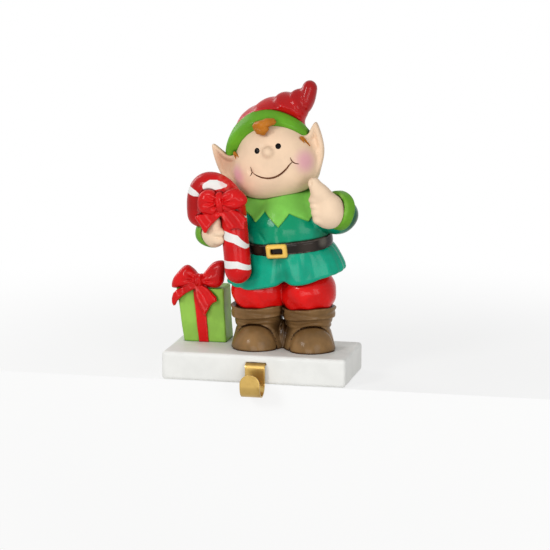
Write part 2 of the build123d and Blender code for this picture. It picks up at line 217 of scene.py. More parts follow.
def uneven(p: Points, pitch: float, depth: float) -> Points:
    """Gives the slow unevenness of a surface modelled by hand.

    Args:
        p: Points in millimetres.
        pitch: Pitch of the waves.
        depth: Their greatest height.

    Returns:
        The heights.
    """
    x, y, z = (p / pitch).T
    waves = np.sin(x + 1.3 * np.sin(y)) + np.sin(1.1 * y + 1.7 * np.sin(0.9 * z))
    return depth * (waves + np.sin(1.2 * z + 1.1 * np.sin(x))) / 3


def bearing(x: Points, y: Points, size: Pair) -> Points:
    """Gives the angle about an oval of full sizes, in degrees from the front."""
    return np.degrees(np.arctan2(x / (size[0] / 2), -y / (size[1] / 2)))


def incline(x: Points, y: Points, level: float, tilt: float, pitch: float) -> Points:
    """Gives the height of a plane that is tilted sideways and pitched backwards, in degrees."""
    return level + x * math.tan(math.radians(tilt)) + y * math.tan(math.radians(pitch))


def outline(x: Points, y: Points, corners: Sequence[Pair]) -> Points:
    """Gives the signed distance in a plane to a closed outline of straight edges.

    Args:
        x: The points' first coordinates.
        y: Their second coordinates.
        corners: The corners in order.

    Returns:
        The signed distances, negative inside.
    """
    nearest = np.full(len(x), 1e9)
    inside = np.zeros(len(x), bool)
    for (x0, y0), (x1, y1) in zip(corners, list(corners[1:]) + [corners[0]]):
        ex, ey, wx, wy = x1 - x0, y1 - y0, x - x0, y - y0
        along = np.clip((wx * ex + wy * ey) / (ex * ex + ey * ey), 0, 1)
        nearest = np.minimum(nearest, (wx - ex * along) ** 2 + (wy - ey * along) ** 2)
        crossed = ((y0 <= y) & (y1 > y)) | ((y1 <= y) & (y0 > y))
        inside ^= crossed & (wx < ex * wy / (ey if ey else 1e-9))
    return np.where(inside, -1, 1) * np.sqrt(nearest)


def rounded(corners: Sequence[Pair], passes: int = 2) -> list[Pair]:
    """Cuts an outline's corners again and again, so that it runs in soft curves.

    Args:
        corners: The corners in order.
        passes: How often they are cut.

    Returns:
        The new corners.
    """
    spots = np.asarray(corners, float)
    for _ in range(passes):
        after = np.roll(spots, -1, axis=0)
        spots = np.stack([0.75 * spots + 0.25 * after, 0.25 * spots + 0.75 * after], 1).reshape(-1, 2)
    return [tuple(spot) for spot in spots]


class Profile:
    """A smooth run of sizes over heights.

    Attributes:
        MARGIN: How far the run goes on beyond its ends.
        STEP: The step between two samples.
        SPREAD: Samples on each side that soften a corner.
    """

    MARGIN, STEP, SPREAD = 20, 0.25, 24

    def __init__(self, heights: Sequence[float], sizes: Sequence[float], soften: float = 2.5) -> None:
        """Samples the run finely and softens its corners.

        Args:
            heights: Rising heights.
            sizes: The size at each height.
            soften: How far the corners are softened, in the heights' unit.
        """
        self.grid = np.arange(heights[0] - self.MARGIN, heights[-1] + self.MARGIN, self.STEP)
        kernel = np.exp(-((np.arange(-self.SPREAD, self.SPREAD + 1) * self.STEP / soften) ** 2))
        dense = np.pad(np.interp(self.grid, heights, sizes), self.SPREAD, mode="edge")
        self.run = np.convolve(dense, kernel / kernel.sum(), "valid")

    def __call__(self, height: Points) -> Points:
        """Gives the sizes at some heights."""
        return np.interp(height, self.grid, self.run)


# ---------------------------------------------------------------- from distance to mesh

# Grid points along a block, and how near the surface a block's middle is where all of it is sampled.
GRID_BLOCK = 8
NEAR_BLOCKS, NEAR_MARGIN = 1.6, 1.5
# Points sampled in one go.
CHUNK = 400000
# How far each round of smoothing moves the vertices before they go back to the surface.
EASING = (0.5, 0.4, 0.0)
# The distance that stands for anything out of reach.
FAR = 99.0


def slope(form: Form, points: Points, step: float = 0.04) -> Points:
    """Gives the gradient of a form's distance at points."""
    shifts = np.eye(3) * step
    return np.stack([form(points + s) - form(points - s) for s in shifts], 1) / (2 * step)


def fine_values(form: Form, low: np.ndarray, count: np.ndarray, cell: float) -> np.ndarray:
    """Samples a form on a grid, finely only near its surface.

    Args:
        form: The distance to sample.
        low: The grid's lowest corner.
        count: Grid points along each axis, a whole number of blocks.
        cell: Grid spacing.

    Returns:
        The distances on the grid, with far places holding only a sign.
    """
    coarse = count // GRID_BLOCK
    middle = [low[i] + (np.arange(coarse[i]) + 0.5) * GRID_BLOCK * cell for i in range(3)]
    spots = np.stack(np.meshgrid(*middle, indexing="ij"), -1).reshape(-1, 3)
    rough = form(spots).reshape(coarse)
    close = np.abs(rough) < GRID_BLOCK * cell * NEAR_BLOCKS + NEAR_MARGIN
    values = np.where(rough < 0, -9.0, 9.0)
    for axis in range(3):
        values, close = np.repeat(values, GRID_BLOCK, axis), np.repeat(close, GRID_BLOCK, axis)
    where = np.argwhere(close)
    for chunk in np.array_split(where, max(1, len(where) // CHUNK)):
        values[tuple(chunk.T)] = form(low + chunk * cell)
    return values


def skin_over(form: Form, low: Spot, high: Spot, cell: float) -> tuple[Points, np.ndarray]:
    """Covers a form with an even mesh of quads that lies on its surface.

    Args:
        form: The distance, negative inside.
        low: Lowest corner of a box that holds the form.
        high: Highest corner of that box.
        cell: The wanted size of a quad.

    Returns:
        The vertices and the quads' vertex numbers.
    """
    low = np.asarray(low, float) - 2 * cell
    count = (np.ceil((np.asarray(high) + 2 * cell - low) / cell / GRID_BLOCK).astype(int)) * GRID_BLOCK
    values = fine_values(form, low, count, cell)
    inside = values < 0
    mixed = np.zeros(count - 1, int)
    corners = [np.array(c) for c in np.ndindex(2, 2, 2)]
    for c in corners:
        mixed += inside[c[0]:count[0] - 1 + c[0], c[1]:count[1] - 1 + c[1], c[2]:count[2] - 1 + c[2]]
    cells = np.argwhere((mixed > 0) & (mixed < 8))
    numbers = np.full(count - 1, -1)
    numbers[tuple(cells.T)] = np.arange(len(cells))
    total, hits = np.zeros((len(cells), 3)), np.zeros(len(cells))
    for a in corners:
        for axis in range(3):
            if a[axis]:
                continue
            b = a + np.eye(3, dtype=int)[axis]
            va, vb = values[tuple((cells + a).T)], values[tuple((cells + b).T)]
            cut = (va < 0) != (vb < 0)
            share = np.where(cut, va / np.where(cut, va - vb, 1), 0)
            total += np.where(cut[:, None], a + share[:, None] * (b - a), 0)
            hits += cut
    spots = low + (cells + total / hits[:, None]) * cell
    quads = []
    for axis in range(3):
        a, b = (axis + 1) % 3, (axis + 2) % 3
        before = inside.take(range(count[axis] - 1), axis)
        edge = np.argwhere(before != inside.take(range(1, count[axis]), axis))
        within = [(edge[:, i] > 0) & (edge[:, i] < count[i] - 1) for i in (a, b)]
        edge = edge[within[0] & within[1]]
        ring = []
        for da, db in ((1, 1), (0, 1), (0, 0), (1, 0)):
            at = edge.copy()
            at[:, a] -= da
            at[:, b] -= db
            ring.append(numbers[tuple(at.T)])
        ring = np.stack(ring, 1)
        outward = before[tuple(edge.T)]
        quads.append(np.where(outward[:, None], ring, ring[:, ::-1]))
    quads = np.concatenate(quads)
    sides = np.concatenate([quads[:, [0, 1]], quads[:, [1, 2]], quads[:, [2, 3]], quads[:, [3, 0]]])
    links = np.bincount(sides[:, 0], minlength=len(spots))[:, None]
    for ease in EASING:
        if ease:
            sums = [np.bincount(sides[:, 0], spots[sides[:, 1], i], len(spots)) for i in range(3)]
            spots = spots + ease * (np.stack(sums, 1) / links - spots)
        fall = slope(form, spots)
        step = form(spots) / np.maximum((fall**2).sum(1), 0.2)
        spots = spots - np.clip(step, -cell, cell)[:, None] * fall
    return spots, quads


def mesh_of(name: str, spots: Points, quads: np.ndarray) -> bpy.types.Object:
    """Makes a smooth mesh object from millimetre vertices and quads.

    Args:
        name: The object's name.
        spots: Its vertices.
        quads: Four vertex numbers for each face.

    Returns:
        The object, linked to the scene.
    """
    mesh = bpy.data.meshes.new(name)
    mesh.vertices.add(len(spots))
    mesh.vertices.foreach_set("co", (spots * MM).astype(np.float32).ravel())
    mesh.loops.add(quads.size)
    mesh.loops.foreach_set("vertex_index", quads.astype(np.int32).ravel())
    mesh.polygons.add(len(quads))
    mesh.polygons.foreach_set("loop_start", np.arange(0, quads.size, 4, dtype=np.int32))
    mesh.update(calc_edges=True)
    mesh.validate()
    mesh.shade_smooth()
    piece = bpy.data.objects.new(name, mesh)
    bpy.context.scene.collection.objects.link(piece)
    return piece


# ---------------------------------------------------------------- shader boards


class Wire:
    """A socket's output, on which Python's sums add Math nodes."""

    def __init__(self, board: "Board", socket: bpy.types.NodeSocket) -> None:
        """Keeps the board and the socket."""
        self.board, self.socket = board, socket

    def sum(self, operation: str, *values: Union["Wire", float]) -> "Wire":
        """Adds a Math node for an operation on values."""
        return self.board.node("ShaderNodeMath", {"operation": operation}, dict(enumerate(values)))

    def __add__(self, other: Union["Wire", float]) -> "Wire":
        """Adds a value."""
        return self.sum("ADD", self, other)

    def __radd__(self, other: float) -> "Wire":
        """Adds this to a value."""
        return self.sum("ADD", other, self)

    def __sub__(self, other: Union["Wire", float]) -> "Wire":
        """Takes a value away."""
        return self.sum("SUBTRACT", self, other)

    def __rsub__(self, other: float) -> "Wire":
        """Takes this away from a value."""
        return self.sum("SUBTRACT", other, self)

    def __mul__(self, other: Union["Wire", float]) -> "Wire":
        """Multiplies by a value."""
        return self.sum("MULTIPLY", self, other)

    def __rmul__(self, other: float) -> "Wire":
        """Multiplies a value by this."""
        return self.sum("MULTIPLY", other, self)

    def step(self, low: float, high: float) -> "Wire":
        """Gives a soft step from 0 at one value to 1 at another."""
        feeds = {"Value": self, "From Min": low, "From Max": high}
        return self.board.node("ShaderNodeMapRange", {"interpolation_type": "SMOOTHSTEP"}, feeds)


class Board:
    """The nodes of one material."""

    def __init__(self, name: str) -> None:
        """Starts a material with only a surface shader.

        Args:
            name: The material's name.
        """
        self.material = bpy.data.materials.new(name)
        self.material.use_nodes = True
        self.tree = self.material.node_tree
        self.shader = self.tree.nodes["Principled BSDF"]

    def node(
        self, kind: str, settings: dict = {}, inputs: dict = {}, output: Union[int, str] = 0
    ) -> Wire:
        """Adds a node.

        Args:
            kind: The node's type.
            settings: Its properties, set first.
            inputs: Values or wires, by the sockets' names or numbers.
            output: The name or number of the output that is used.

        Returns:
            The output as a wire.
        """
        made = self.tree.nodes.new(kind)
        for key, value in settings.items():
            setattr(made, key, value)
        for key, value in inputs.items():
            self.feed(made.inputs[key], value)
        return Wire(self, made.outputs[output])

    def feed(self, socket: bpy.types.NodeSocket, value: Union[Wire, float, Colour]) -> None:
        """Links a wire to a socket, or sets the socket's own value.

        Args:
            socket: The socket.
            value: A wire, number, colour or vector.
        """
        if isinstance(value, Wire):
            self.tree.links.new(value.socket, socket)
        elif isinstance(value, tuple) and socket.type == "RGBA":
            socket.default_value = (*value, 1)
        else:
            socket.default_value = value

    def blend(self, share: Union[Wire, float], a: Union[Wire, Colour], b: Union[Wire, Colour]) -> Wire:
        """Mixes two colours."""
        return self.node("ShaderNodeMix", {"data_type": "RGBA"}, {0: share, 6: a, 7: b}, 2)

    def place(self) -> Wire:
        """Gives the piece's own coordinates."""
        return self.node("ShaderNodeTexCoord", {}, {}, "Object")

    def trait(self, name: str) -> Wire:
        """Reads a number from the mesh's attributes."""
        return self.node("ShaderNodeAttribute", {"attribute_name": name}, {}, "Fac")

    def measure(self, operation: str, *values: Spot) -> Wire:
        """Gives a number measured from the piece's own coordinates and other vectors."""
        feeds = dict(enumerate((self.place(), *values)))
        return self.node("ShaderNodeVectorMath", {"operation": operation}, feeds, "Value")

    def grain(self, pitch: float, detail: float = 2, stretch: Spot = (1, 1, 1)) -> Wire:
        """Gives noise of a pitch in millimetres, stretched along the axes.

        Args:
            pitch: Pitch of the noise.
            detail: How many finer layers it has.
            stretch: Scale along each axis, where less makes it longer.

        Returns:
            The noise, from 0 to 1.
        """
        turned = self.node("ShaderNodeMapping", {}, {"Vector": self.place(), "Scale": stretch})
        feeds = {"Vector": turned, "Scale": 1 / (pitch * MM), "Detail": detail}
        return self.node("ShaderNodeTexNoise", {}, feeds)

    def bump(self, strength: float, depth: float, height: Wire) -> Wire:
        """Gives the normals of a relief, with its depth in millimetres."""
        feeds = {"Strength": strength, "Distance": depth * MM, "Height": height}
        return self.node("ShaderNodeBump", {}, feeds, "Normal")

    def close(self, **values: Union[Wire, float, Colour]) -> bpy.types.Material:
        """Feeds the surface shader, with _ for the spaces in its sockets' names.

        Args:
            values: A value or wire for each socket.

        Returns:
            The material.
        """
        for key, value in values.items():
            self.feed(self.shader.inputs[key.replace("_", " ")], value)
        return self.material


def toned(colour: Colour, share: float) -> Colour:
    """Gives a colour made darker or lighter."""
    return tuple(min(1.0, part * share) for part in colour)


@dataclass(frozen=True)
class SprayAndLightSpot:
    """A soft spot of another colour: airbrushed blush, and also painted shade and painted highlights.

    Attributes:
        middle: Its middle in millimetres.
        radius: How far it reaches.
        colour: Its colour.
        share: How well it covers at its middle.
        core: The part of the radius that is covered fully.
    """

    middle: Sequence[float]
    radius: float
    colour: Colour
    share: float = 0.8
    core: float = 0.15

    def cover(self, board: Board) -> Wire:
        """Gives how well the spot covers each point."""
        away = board.measure("DISTANCE", tuple(float(part) * MM for part in self.middle))
        return away.step(self.radius * MM, self.radius * self.core * MM) * self.share


# Pitches of the paints' unevenness in millimetres.
TONE, FLECK, PATCH, BRUSH, DAUB = 13.0, 2.2, 3.5, 0.9, 4.5
# How soon the wash and painted shade are at full strength, and between which values edges and patches are
# worn and lit with painted highlight.
WASH_AND_SHADE_WIDTH = 0.65
WORN_AND_LIT_EDGES, WORN_AND_LIT_PATCHES = (0.45, 1.0), (0.35, 0.7)
COAT_ROUGHNESS, PAINT_IOR = 0.12, 1.5


@dataclass(frozen=True)
class Paint:
    """A coat of glossy paint on cast resin, with a dark wash and painted shade in its hollows, and worn
    edges lit as painted highlights.

    Attributes:
        name: The material's name.
        colour: The paint.
        wash_and_shade: The colour of the wash and of the painted shade in hollows and between parts.
        worn_and_highlight: The colour of worn high edges, which also stands for painted highlights on
            them.
        roughness: The mean roughness.
        gloss: The weight of the clear coat.
        mottle: How much the tone varies from place to place.
        wash_and_shade_share: How strongly the hollows are darkened.
        wash_and_shade_from: How hollow a place is where the wash and painted shade start.
        worn_and_highlight_share: How strongly the high edges are worn and lit with painted highlight.
        bump: Depth of the brushed surface in millimetres.
        shine: The level of the plain surface's reflection.
        sprays_and_light_spots: Soft spots of other colours over the paint: airbrushed blush, painted
            shade and painted highlights.
    """

    name: str
    colour: Colour
    wash_and_shade: Colour
    worn_and_highlight: Colour
    roughness: float = 0.34
    gloss: float = 0.35
    mottle: float = 0.12
    wash_and_shade_share: float = 0.85
    wash_and_shade_from: float = 0.30
    worn_and_highlight_share: float = 0.35
    bump: float = 0.10
    shine: float = 0.06
    sprays_and_light_spots: tuple[SprayAndLightSpot, ...] = ()

    def tint(self, board: Board) -> Union[Wire, Colour]:
        """Gives the paint's colour before the wash and the painted shade.

        Args:
            board: The material's nodes.

        Returns:
            The colour.
        """
        tone = board.grain(TONE, 3).step(0.3, 0.7)
        fleck = board.grain(FLECK, 3, (1, 1, 0.35)).step(0.42, 0.72)
        base = board.blend(tone, toned(self.colour, 1 - self.mottle), toned(self.colour, 1 + self.mottle))
        colour = board.blend(fleck * (0.5 * self.mottle), base, toned(self.colour, 0.55))
        for tone_spot in self.sprays_and_light_spots:
            colour = board.blend(tone_spot.cover(board), colour, tone_spot.colour)
        return colour

    def material(self) -> bpy.types.Material:
        """Builds the material.

        Returns:
            The material.
        """
        board = Board(self.name)
        patch = board.grain(PATCH, 4)
        # The wash darkens the hollows and also paints the shade in creases and between parts.
        washed_and_shaded = board.trait("hollow").step(self.wash_and_shade_from, self.wash_and_shade_from + WASH_AND_SHADE_WIDTH) * self.wash_and_shade_share
        # Worn high edges are lightened, which also paints highlights on them.
        rubbed_and_lit = board.trait("crest").step(*WORN_AND_LIT_EDGES) * patch.step(*WORN_AND_LIT_PATCHES) * self.worn_and_highlight_share
        colour = board.blend(washed_and_shaded, self.tint(board), self.wash_and_shade)
        brush = board.grain(BRUSH, 2, (1, 1, 0.45)) * 0.6 + board.grain(DAUB, 2)
        return board.close(
            Base_Color=board.blend(rubbed_and_lit, colour, self.worn_and_highlight),
            Roughness=self.roughness - 0.07 + patch * 0.14 + washed_and_shaded * 0.2,
            Normal=board.bump(0.6, self.bump, brush),
            Coat_Weight=self.gloss,
            Coat_Roughness=COAT_ROUGHNESS,
            IOR=PAINT_IOR,
            Specular_IOR_Level=self.shine,
        )


@dataclass(frozen=True)
class Stripes(Paint):
    """Red paint with white brush strokes across a bent rod.

    Attributes:
        white: The strokes' colour.
        strokes: Stops along each stroke, seen from the front: across, up and half the width.
        ragged: How uneven the strokes' edges are, in millimetres.
        soft: How softly they end, in millimetres.
    """

    white: Colour = (0.84, 0.83, 0.80)
    strokes: tuple[tuple[Spot, ...], ...] = ()
    ragged: float = 0.35
    soft: float = 0.18

    def stroke(self, across: Wire, up: Wire, start: Spot, end: Spot) -> Wire:
        """Gives the distance from a tapering stroke between two stops.

        Args:
            across: Place across the rod in millimetres.
            up: Place up the rod in millimetres.
            start: The first stop: across, up and half the width.
            end: The second stop.

        Returns:
            The distance, negative on the stroke.
        """
        along = (end[0] - start[0], end[1] - start[1])
        square = along[0] ** 2 + along[1] ** 2
        share = (across - start[0]) * (along[0] / square) + (up - start[1]) * (along[1] / square)
        share.socket.node.use_clamp = True
        aside, above = across - start[0] - share * along[0], up - start[1] - share * along[1]
        return share.sum("SQRT", aside * aside + above * above) - share * (end[2] - start[2]) - start[2]

    def tint(self, board: Board) -> Union[Wire, Colour]:
        """Gives the red with its strokes.

        Args:
            board: The material's nodes.

        Returns:
            The colour.
        """
        red = super().tint(board)
        across, up = (
            board.measure("DOT_PRODUCT", tuple(axis / MM)) - float(axis @ CANE.origin)
            for axis in (CANE.axes[:, 0], CANE.axes[:, 2])
        )
        nearest = None
        for stops in self.strokes:
            for start, end in zip(stops, stops[1:]):
                gap = self.stroke(across, up, start, end)
                nearest = gap if nearest is None else nearest.sum("MINIMUM", nearest, gap)
        edge = nearest + (board.grain(4, 2) - 0.5) * self.ragged
        tone = board.blend(board.grain(6, 3), toned(self.white, 0.9), self.white)
        return board.blend(edge.step(self.soft, -self.soft), red, tone)


@dataclass(frozen=True)
class Brass:
    """Bent brass strip, polished, with fine draw lines and a little tarnish.

    Attributes:
        colour: The clean brass.
        tarnish: The colour of its dull patches.
        draw: Pitch of the draw lines in millimetres.
        patch: Pitch of the dull patches in millimetres.
        roughness: The least roughness.
        bump: Depth of the draw lines in millimetres.
    """

    colour: Colour = (0.50, 0.33, 0.10)
    tarnish: Colour = (0.27, 0.155, 0.036)
    draw: float = 1.1
    patch: float = 5.0
    roughness: float = 0.2
    bump: float = 0.05

    def material(self) -> bpy.types.Material:
        """Builds the material.

        Returns:
            The material.
        """
        board = Board("drawn_brass")
        drawn = board.grain(self.draw, 3, (1, 0.05, 0.05))
        patch = board.grain(self.patch, 5)
        colour = board.blend(patch.step(0.45, 0.75) * 0.55, self.colour, self.tarnish)
        colour = board.blend(drawn.step(0.5, 0.8) * 0.25, colour, toned(self.colour, 1.25))
        rough = self.roughness + patch * 0.16 + drawn * 0.1
        normal = board.bump(0.35, self.bump, drawn)
        return board.close(Base_Color=colour, Metallic=1.0, Roughness=rough, Normal=normal)


# The skin's wash with painted shade, and its worn edges with painted highlights.
SKIN_WASH_AND_SHADE = (0.40, 0.17, 0.09)
SKIN_WORN_AND_HIGHLIGHT = (0.88, 0.70, 0.53)
REDS = {"wash_and_shade": (0.16, 0.001, 0.002), "worn_and_highlight": (0.86, 0.16, 0.13)}
HAT_POINT_SHADE = (0.36, 0.002, 0.003)
CROOK_SHADE = (0.30, 0.003, 0.003)
BLUSH = (0.72, 0.34, 0.42)
EAR_SHADE = (0.46, 0.22, 0.13)
PLEAT_SHADE = (0.001, 0.15, 0.085)
GLOSSY = {"roughness": 0.26, "gloss": 0.24}
SATIN = {"roughness": 0.45, "gloss": 0.08}
MATT = {"roughness": 0.48, "gloss": 0.04, "mottle": 0.05, "wash_and_shade_share": 0.6}

HAT_RED = Paint(
    "hat_red", (0.52, 0.004, 0.005), **REDS, gloss=0.30, bump=0.05, shine=0.08, wash_and_shade_from=0.12,
    # Painted shade on the hat's bent point.
    sprays_and_light_spots=(SprayAndLightSpot(FACE.spot(30, 0, 40), 30, HAT_POINT_SHADE, 0.9),),
)
CLOTH_RED = Paint("trouser_red", (0.68, 0.005, 0.004), **REDS, **GLOSSY, bump=0.25)
BOW_RED = Paint("ribbon_red", (0.62, 0.004, 0.005), **REDS, **GLOSSY)
CANE_RED = Stripes(
    "cane_stripes", (0.60, 0.004, 0.005), **REDS, roughness=0.26, gloss=0.22,
    # Painted shade on the crook's hanging end.
    sprays_and_light_spots=(SprayAndLightSpot(CANE.spot(-22, 0, 46), 24, CROOK_SHADE, 0.75),),
    strokes=(
        ((-8.8, 4.9, 2.6), (1.5, 4.7, 2.2), (8.2, 1.6, 1.4)),
        ((-8.8, 24.8, 3.0), (1.8, 21.0, 2.6), (7.4, 15.4, 1.3)),
        ((-8.8, 42.0, 2.2), (1.8, 38.5, 2.1), (7.4, 33.5, 1.1)),
        ((-13.6, 54.9, 2.5), (-10.6, 55.7, 3.2), (-7.8, 55.6, 3.0), (-4.8, 55.2, 2.2), (-1.8, 54.7, 1.0)),
        ((-28.6, 54.3, 2.6), (-22.0, 51.3, 2.0), (-18.8, 49.8, 0.8)),
    ),
)
LEAF_GREEN = Paint("band_green", (0.125, 0.36, 0.022), (0.03, 0.12, 0.006), (0.26, 0.50, 0.09), **SATIN)
COLLAR_GREEN = Paint(
    "collar_green", (0.195, 0.54, 0.082), (0.02, 0.10, 0.008), (0.36, 0.60, 0.16), **SATIN
)
CUFF_GREEN = Paint("cuff_green", (0.13, 0.35, 0.025), (0.02, 0.09, 0.006), (0.40, 0.58, 0.16), **SATIN)
GIFT_GREEN = Paint(
    "gift_green", (0.26, 0.49, 0.075), (0.05, 0.16, 0.01), (0.45, 0.66, 0.20), roughness=0.42, gloss=0.1
)
TUNIC_TEAL = Paint(
    "tunic_teal", (0.001, 0.34, 0.205), (0.001, 0.075, 0.03), (0.10, 0.50, 0.36), **GLOSSY,
    bump=0.3, shine=0.05, wash_and_shade_from=0.2,
    sprays_and_light_spots=(
        # Darker over the chest.
        SprayAndLightSpot(FIGURE.spot(0, -14, 84), 32, (0.001, 0.25, 0.105), 0.85),
        # Painted shade over the raised sleeve's outer side, and under the sleeve.
        SprayAndLightSpot(RAISED.spot(12, 0, -3), 19, (0.002, 0.06, 0.016), 1.0),
        SprayAndLightSpot(RAISED.spot(-4, -4, -13), 14, (0.002, 0.09, 0.03), 0.8),
        # Painted shade in the skirt's cleft below the belt.
        SprayAndLightSpot(FIGURE.spot(-1.5, -21, 60), 8, PLEAT_SHADE, 0.7),
        SprayAndLightSpot(FIGURE.spot(2.0, -23, 50), 8, PLEAT_SHADE, 0.7),
    ),
)
BOOT_BROWN = Paint(
    "boot_brown", (0.215, 0.120, 0.046), (0.032, 0.012, 0.003), (0.34, 0.21, 0.10),
    roughness=0.30, gloss=0.16, mottle=0.24, wash_and_shade_share=1.0, wash_and_shade_from=0.12, bump=0.2,
    sprays_and_light_spots=(
        # Painted shade at the tops of both shafts under the trousers, and in the gap between the boots.
        SprayAndLightSpot(FIGURE.spot(-18, -8, 23), 19, (0.110, 0.052, 0.015), 0.7),
        SprayAndLightSpot(FIGURE.spot(14, -8, 23), 19, (0.110, 0.052, 0.016), 0.7),
        SprayAndLightSpot(FIGURE.spot(-1.8, -7, 13), 11, (0.030, 0.012, 0.003), 1.0),
    ),
)
BELT_BLACK = Paint(
    "belt_black", (0.010, 0.006, 0.004), (0.002, 0.001, 0.001), (0.22, 0.17, 0.14),
    # The strong worn edges also paint the belt's highlights.
    roughness=0.24, gloss=0.3, worn_and_highlight_share=0.8, bump=0.35, shine=0.05,
    # Painted highlights: pale sheen patches on the black belt.
    sprays_and_light_spots=(
        SprayAndLightSpot(BELT.spot(17, -17, 0), 8, (0.07, 0.05, 0.04), 0.4),
        SprayAndLightSpot(BELT.spot(25.5, -10, 1), 5, (0.20, 0.17, 0.14), 0.5),
        SprayAndLightSpot(BELT.spot(-14, -18, 0), 5, (0.05, 0.03, 0.02), 0.6),
    ),
)
BUCKLE_GOLD = Paint(
    "buckle_gold", (0.80, 0.50, 0.09), (0.24, 0.09, 0.01), (0.92, 0.72, 0.30), roughness=0.24, gloss=0.5
)
HAIR_BROWN = Paint(
    "hair_brown", (0.45, 0.15, 0.012), (0.16, 0.045, 0.004), (0.62, 0.28, 0.05), roughness=0.38, gloss=0.1
)
BLOCK_WHITE = Paint(
    "block_white", (0.80, 0.80, 0.77), (0.50, 0.50, 0.48), (0.84, 0.84, 0.82),
    roughness=0.45, gloss=0.05, mottle=0.03, bump=0.16,
)
SKIN = Paint("skin", (0.82, 0.62, 0.44), SKIN_WASH_AND_SHADE, SKIN_WORN_AND_HIGHLIGHT, **MATT)
FACE_SKIN = Paint(
    "face_skin", (0.82, 0.60, 0.42), SKIN_WASH_AND_SHADE, SKIN_WORN_AND_HIGHLIGHT, **MATT,
    sprays_and_light_spots=(
        SprayAndLightSpot(FACE.spot(-23, -12, -5.3), 9.5, BLUSH),
        SprayAndLightSpot(FACE.spot(21.4, -13.8, -5.6), 10.5, BLUSH),
        # The ear's spot is painted shade; the cheeks' spots are blush.
        SprayAndLightSpot(FACE.spot(-31, -4, 6), 12, EAR_SHADE, 0.6),
    ),
)
EYE_BLACK = Paint(
    "eye_black", (0.002, 0.0015, 0.0015), (0.002, 0.002, 0.002), (0.01, 0.01, 0.01),
    roughness=0.3, gloss=0.06,
)
MOUTH_BROWN = Paint(
    "mouth_brown", (0.10, 0.030, 0.010), (0.06, 0.02, 0.008), (0.2, 0.08, 0.03), roughness=0.5, gloss=0.05
)


# ---------------------------------------------------------------- painted areas of the casting


@dataclass
class Sculpted:
    """A painted area of the casting, held as a signed distance in millimetres.

    Attributes:
        finish: Its paint.
        cell: The size of its mesh's quads.
        reach: Two corners of a box that holds it.
    """

    name = "area"
    finish: Paint = SKIN
    cell: float = 0.55
    reach: Reach = ((0, 0, 0), (0, 0, 0))

    def distance(self, p: Points) -> Points:
        """Gives the signed distance from points to the area."""
        raise NotImplementedError

    def near(self, p: Points, margin: float = 6.0) -> Points:
        """Gives the distance where it is small, and a large number elsewhere.

        Args:
            p: Points in millimetres.
            margin: How far beyond the area's box a point is still near.

        Returns:
            The signed distances, negative inside.
        """
        low, high = np.array(self.reach)
        found = np.full(len(p), FAR)
        close = ((p > low - margin) & (p < high + margin)).all(1)
        found[close] = self.distance(p[close])
        return found

    def build(self) -> bpy.types.Object:
        """Makes the area's mesh."""
        return mesh_of(self.name, *skin_over(self.distance, *self.reach, self.cell))


@dataclass
class Block(Sculpted):
    """The white block, with the slot that holds the hook's tang."""

    name = "base_block"
    finish: Paint = BLOCK_WHITE
    cell: float = 0.75
    reach: Reach = ((-60, -28.5, -0.5), (60, 28.5, 19))
    half: Size = (59, 27.5, 9)
    rounding: float = 2.2
    slot: Size = (6.6, 23.3, 0.75)
    slot_spot: Spot = (2, -27.5, 13)

    def distance(self, p: Points) -> Points:
        """Gives the signed distance from points to the block.

        Args:
            p: Points in millimetres.

        Returns:
            The signed distances, negative inside.
        """
        body = slab(p - (0, 0, self.half[2]), self.half, self.rounding) + uneven(p, 7, 0.22) - 0.05
        slot = slab(p - self.slot_spot, self.slot, 0.3) + uneven(p + 3, 1.3, 0.12)
        return meet(meet(body, -slot, 0.5), -p[:, 2], 0.4)


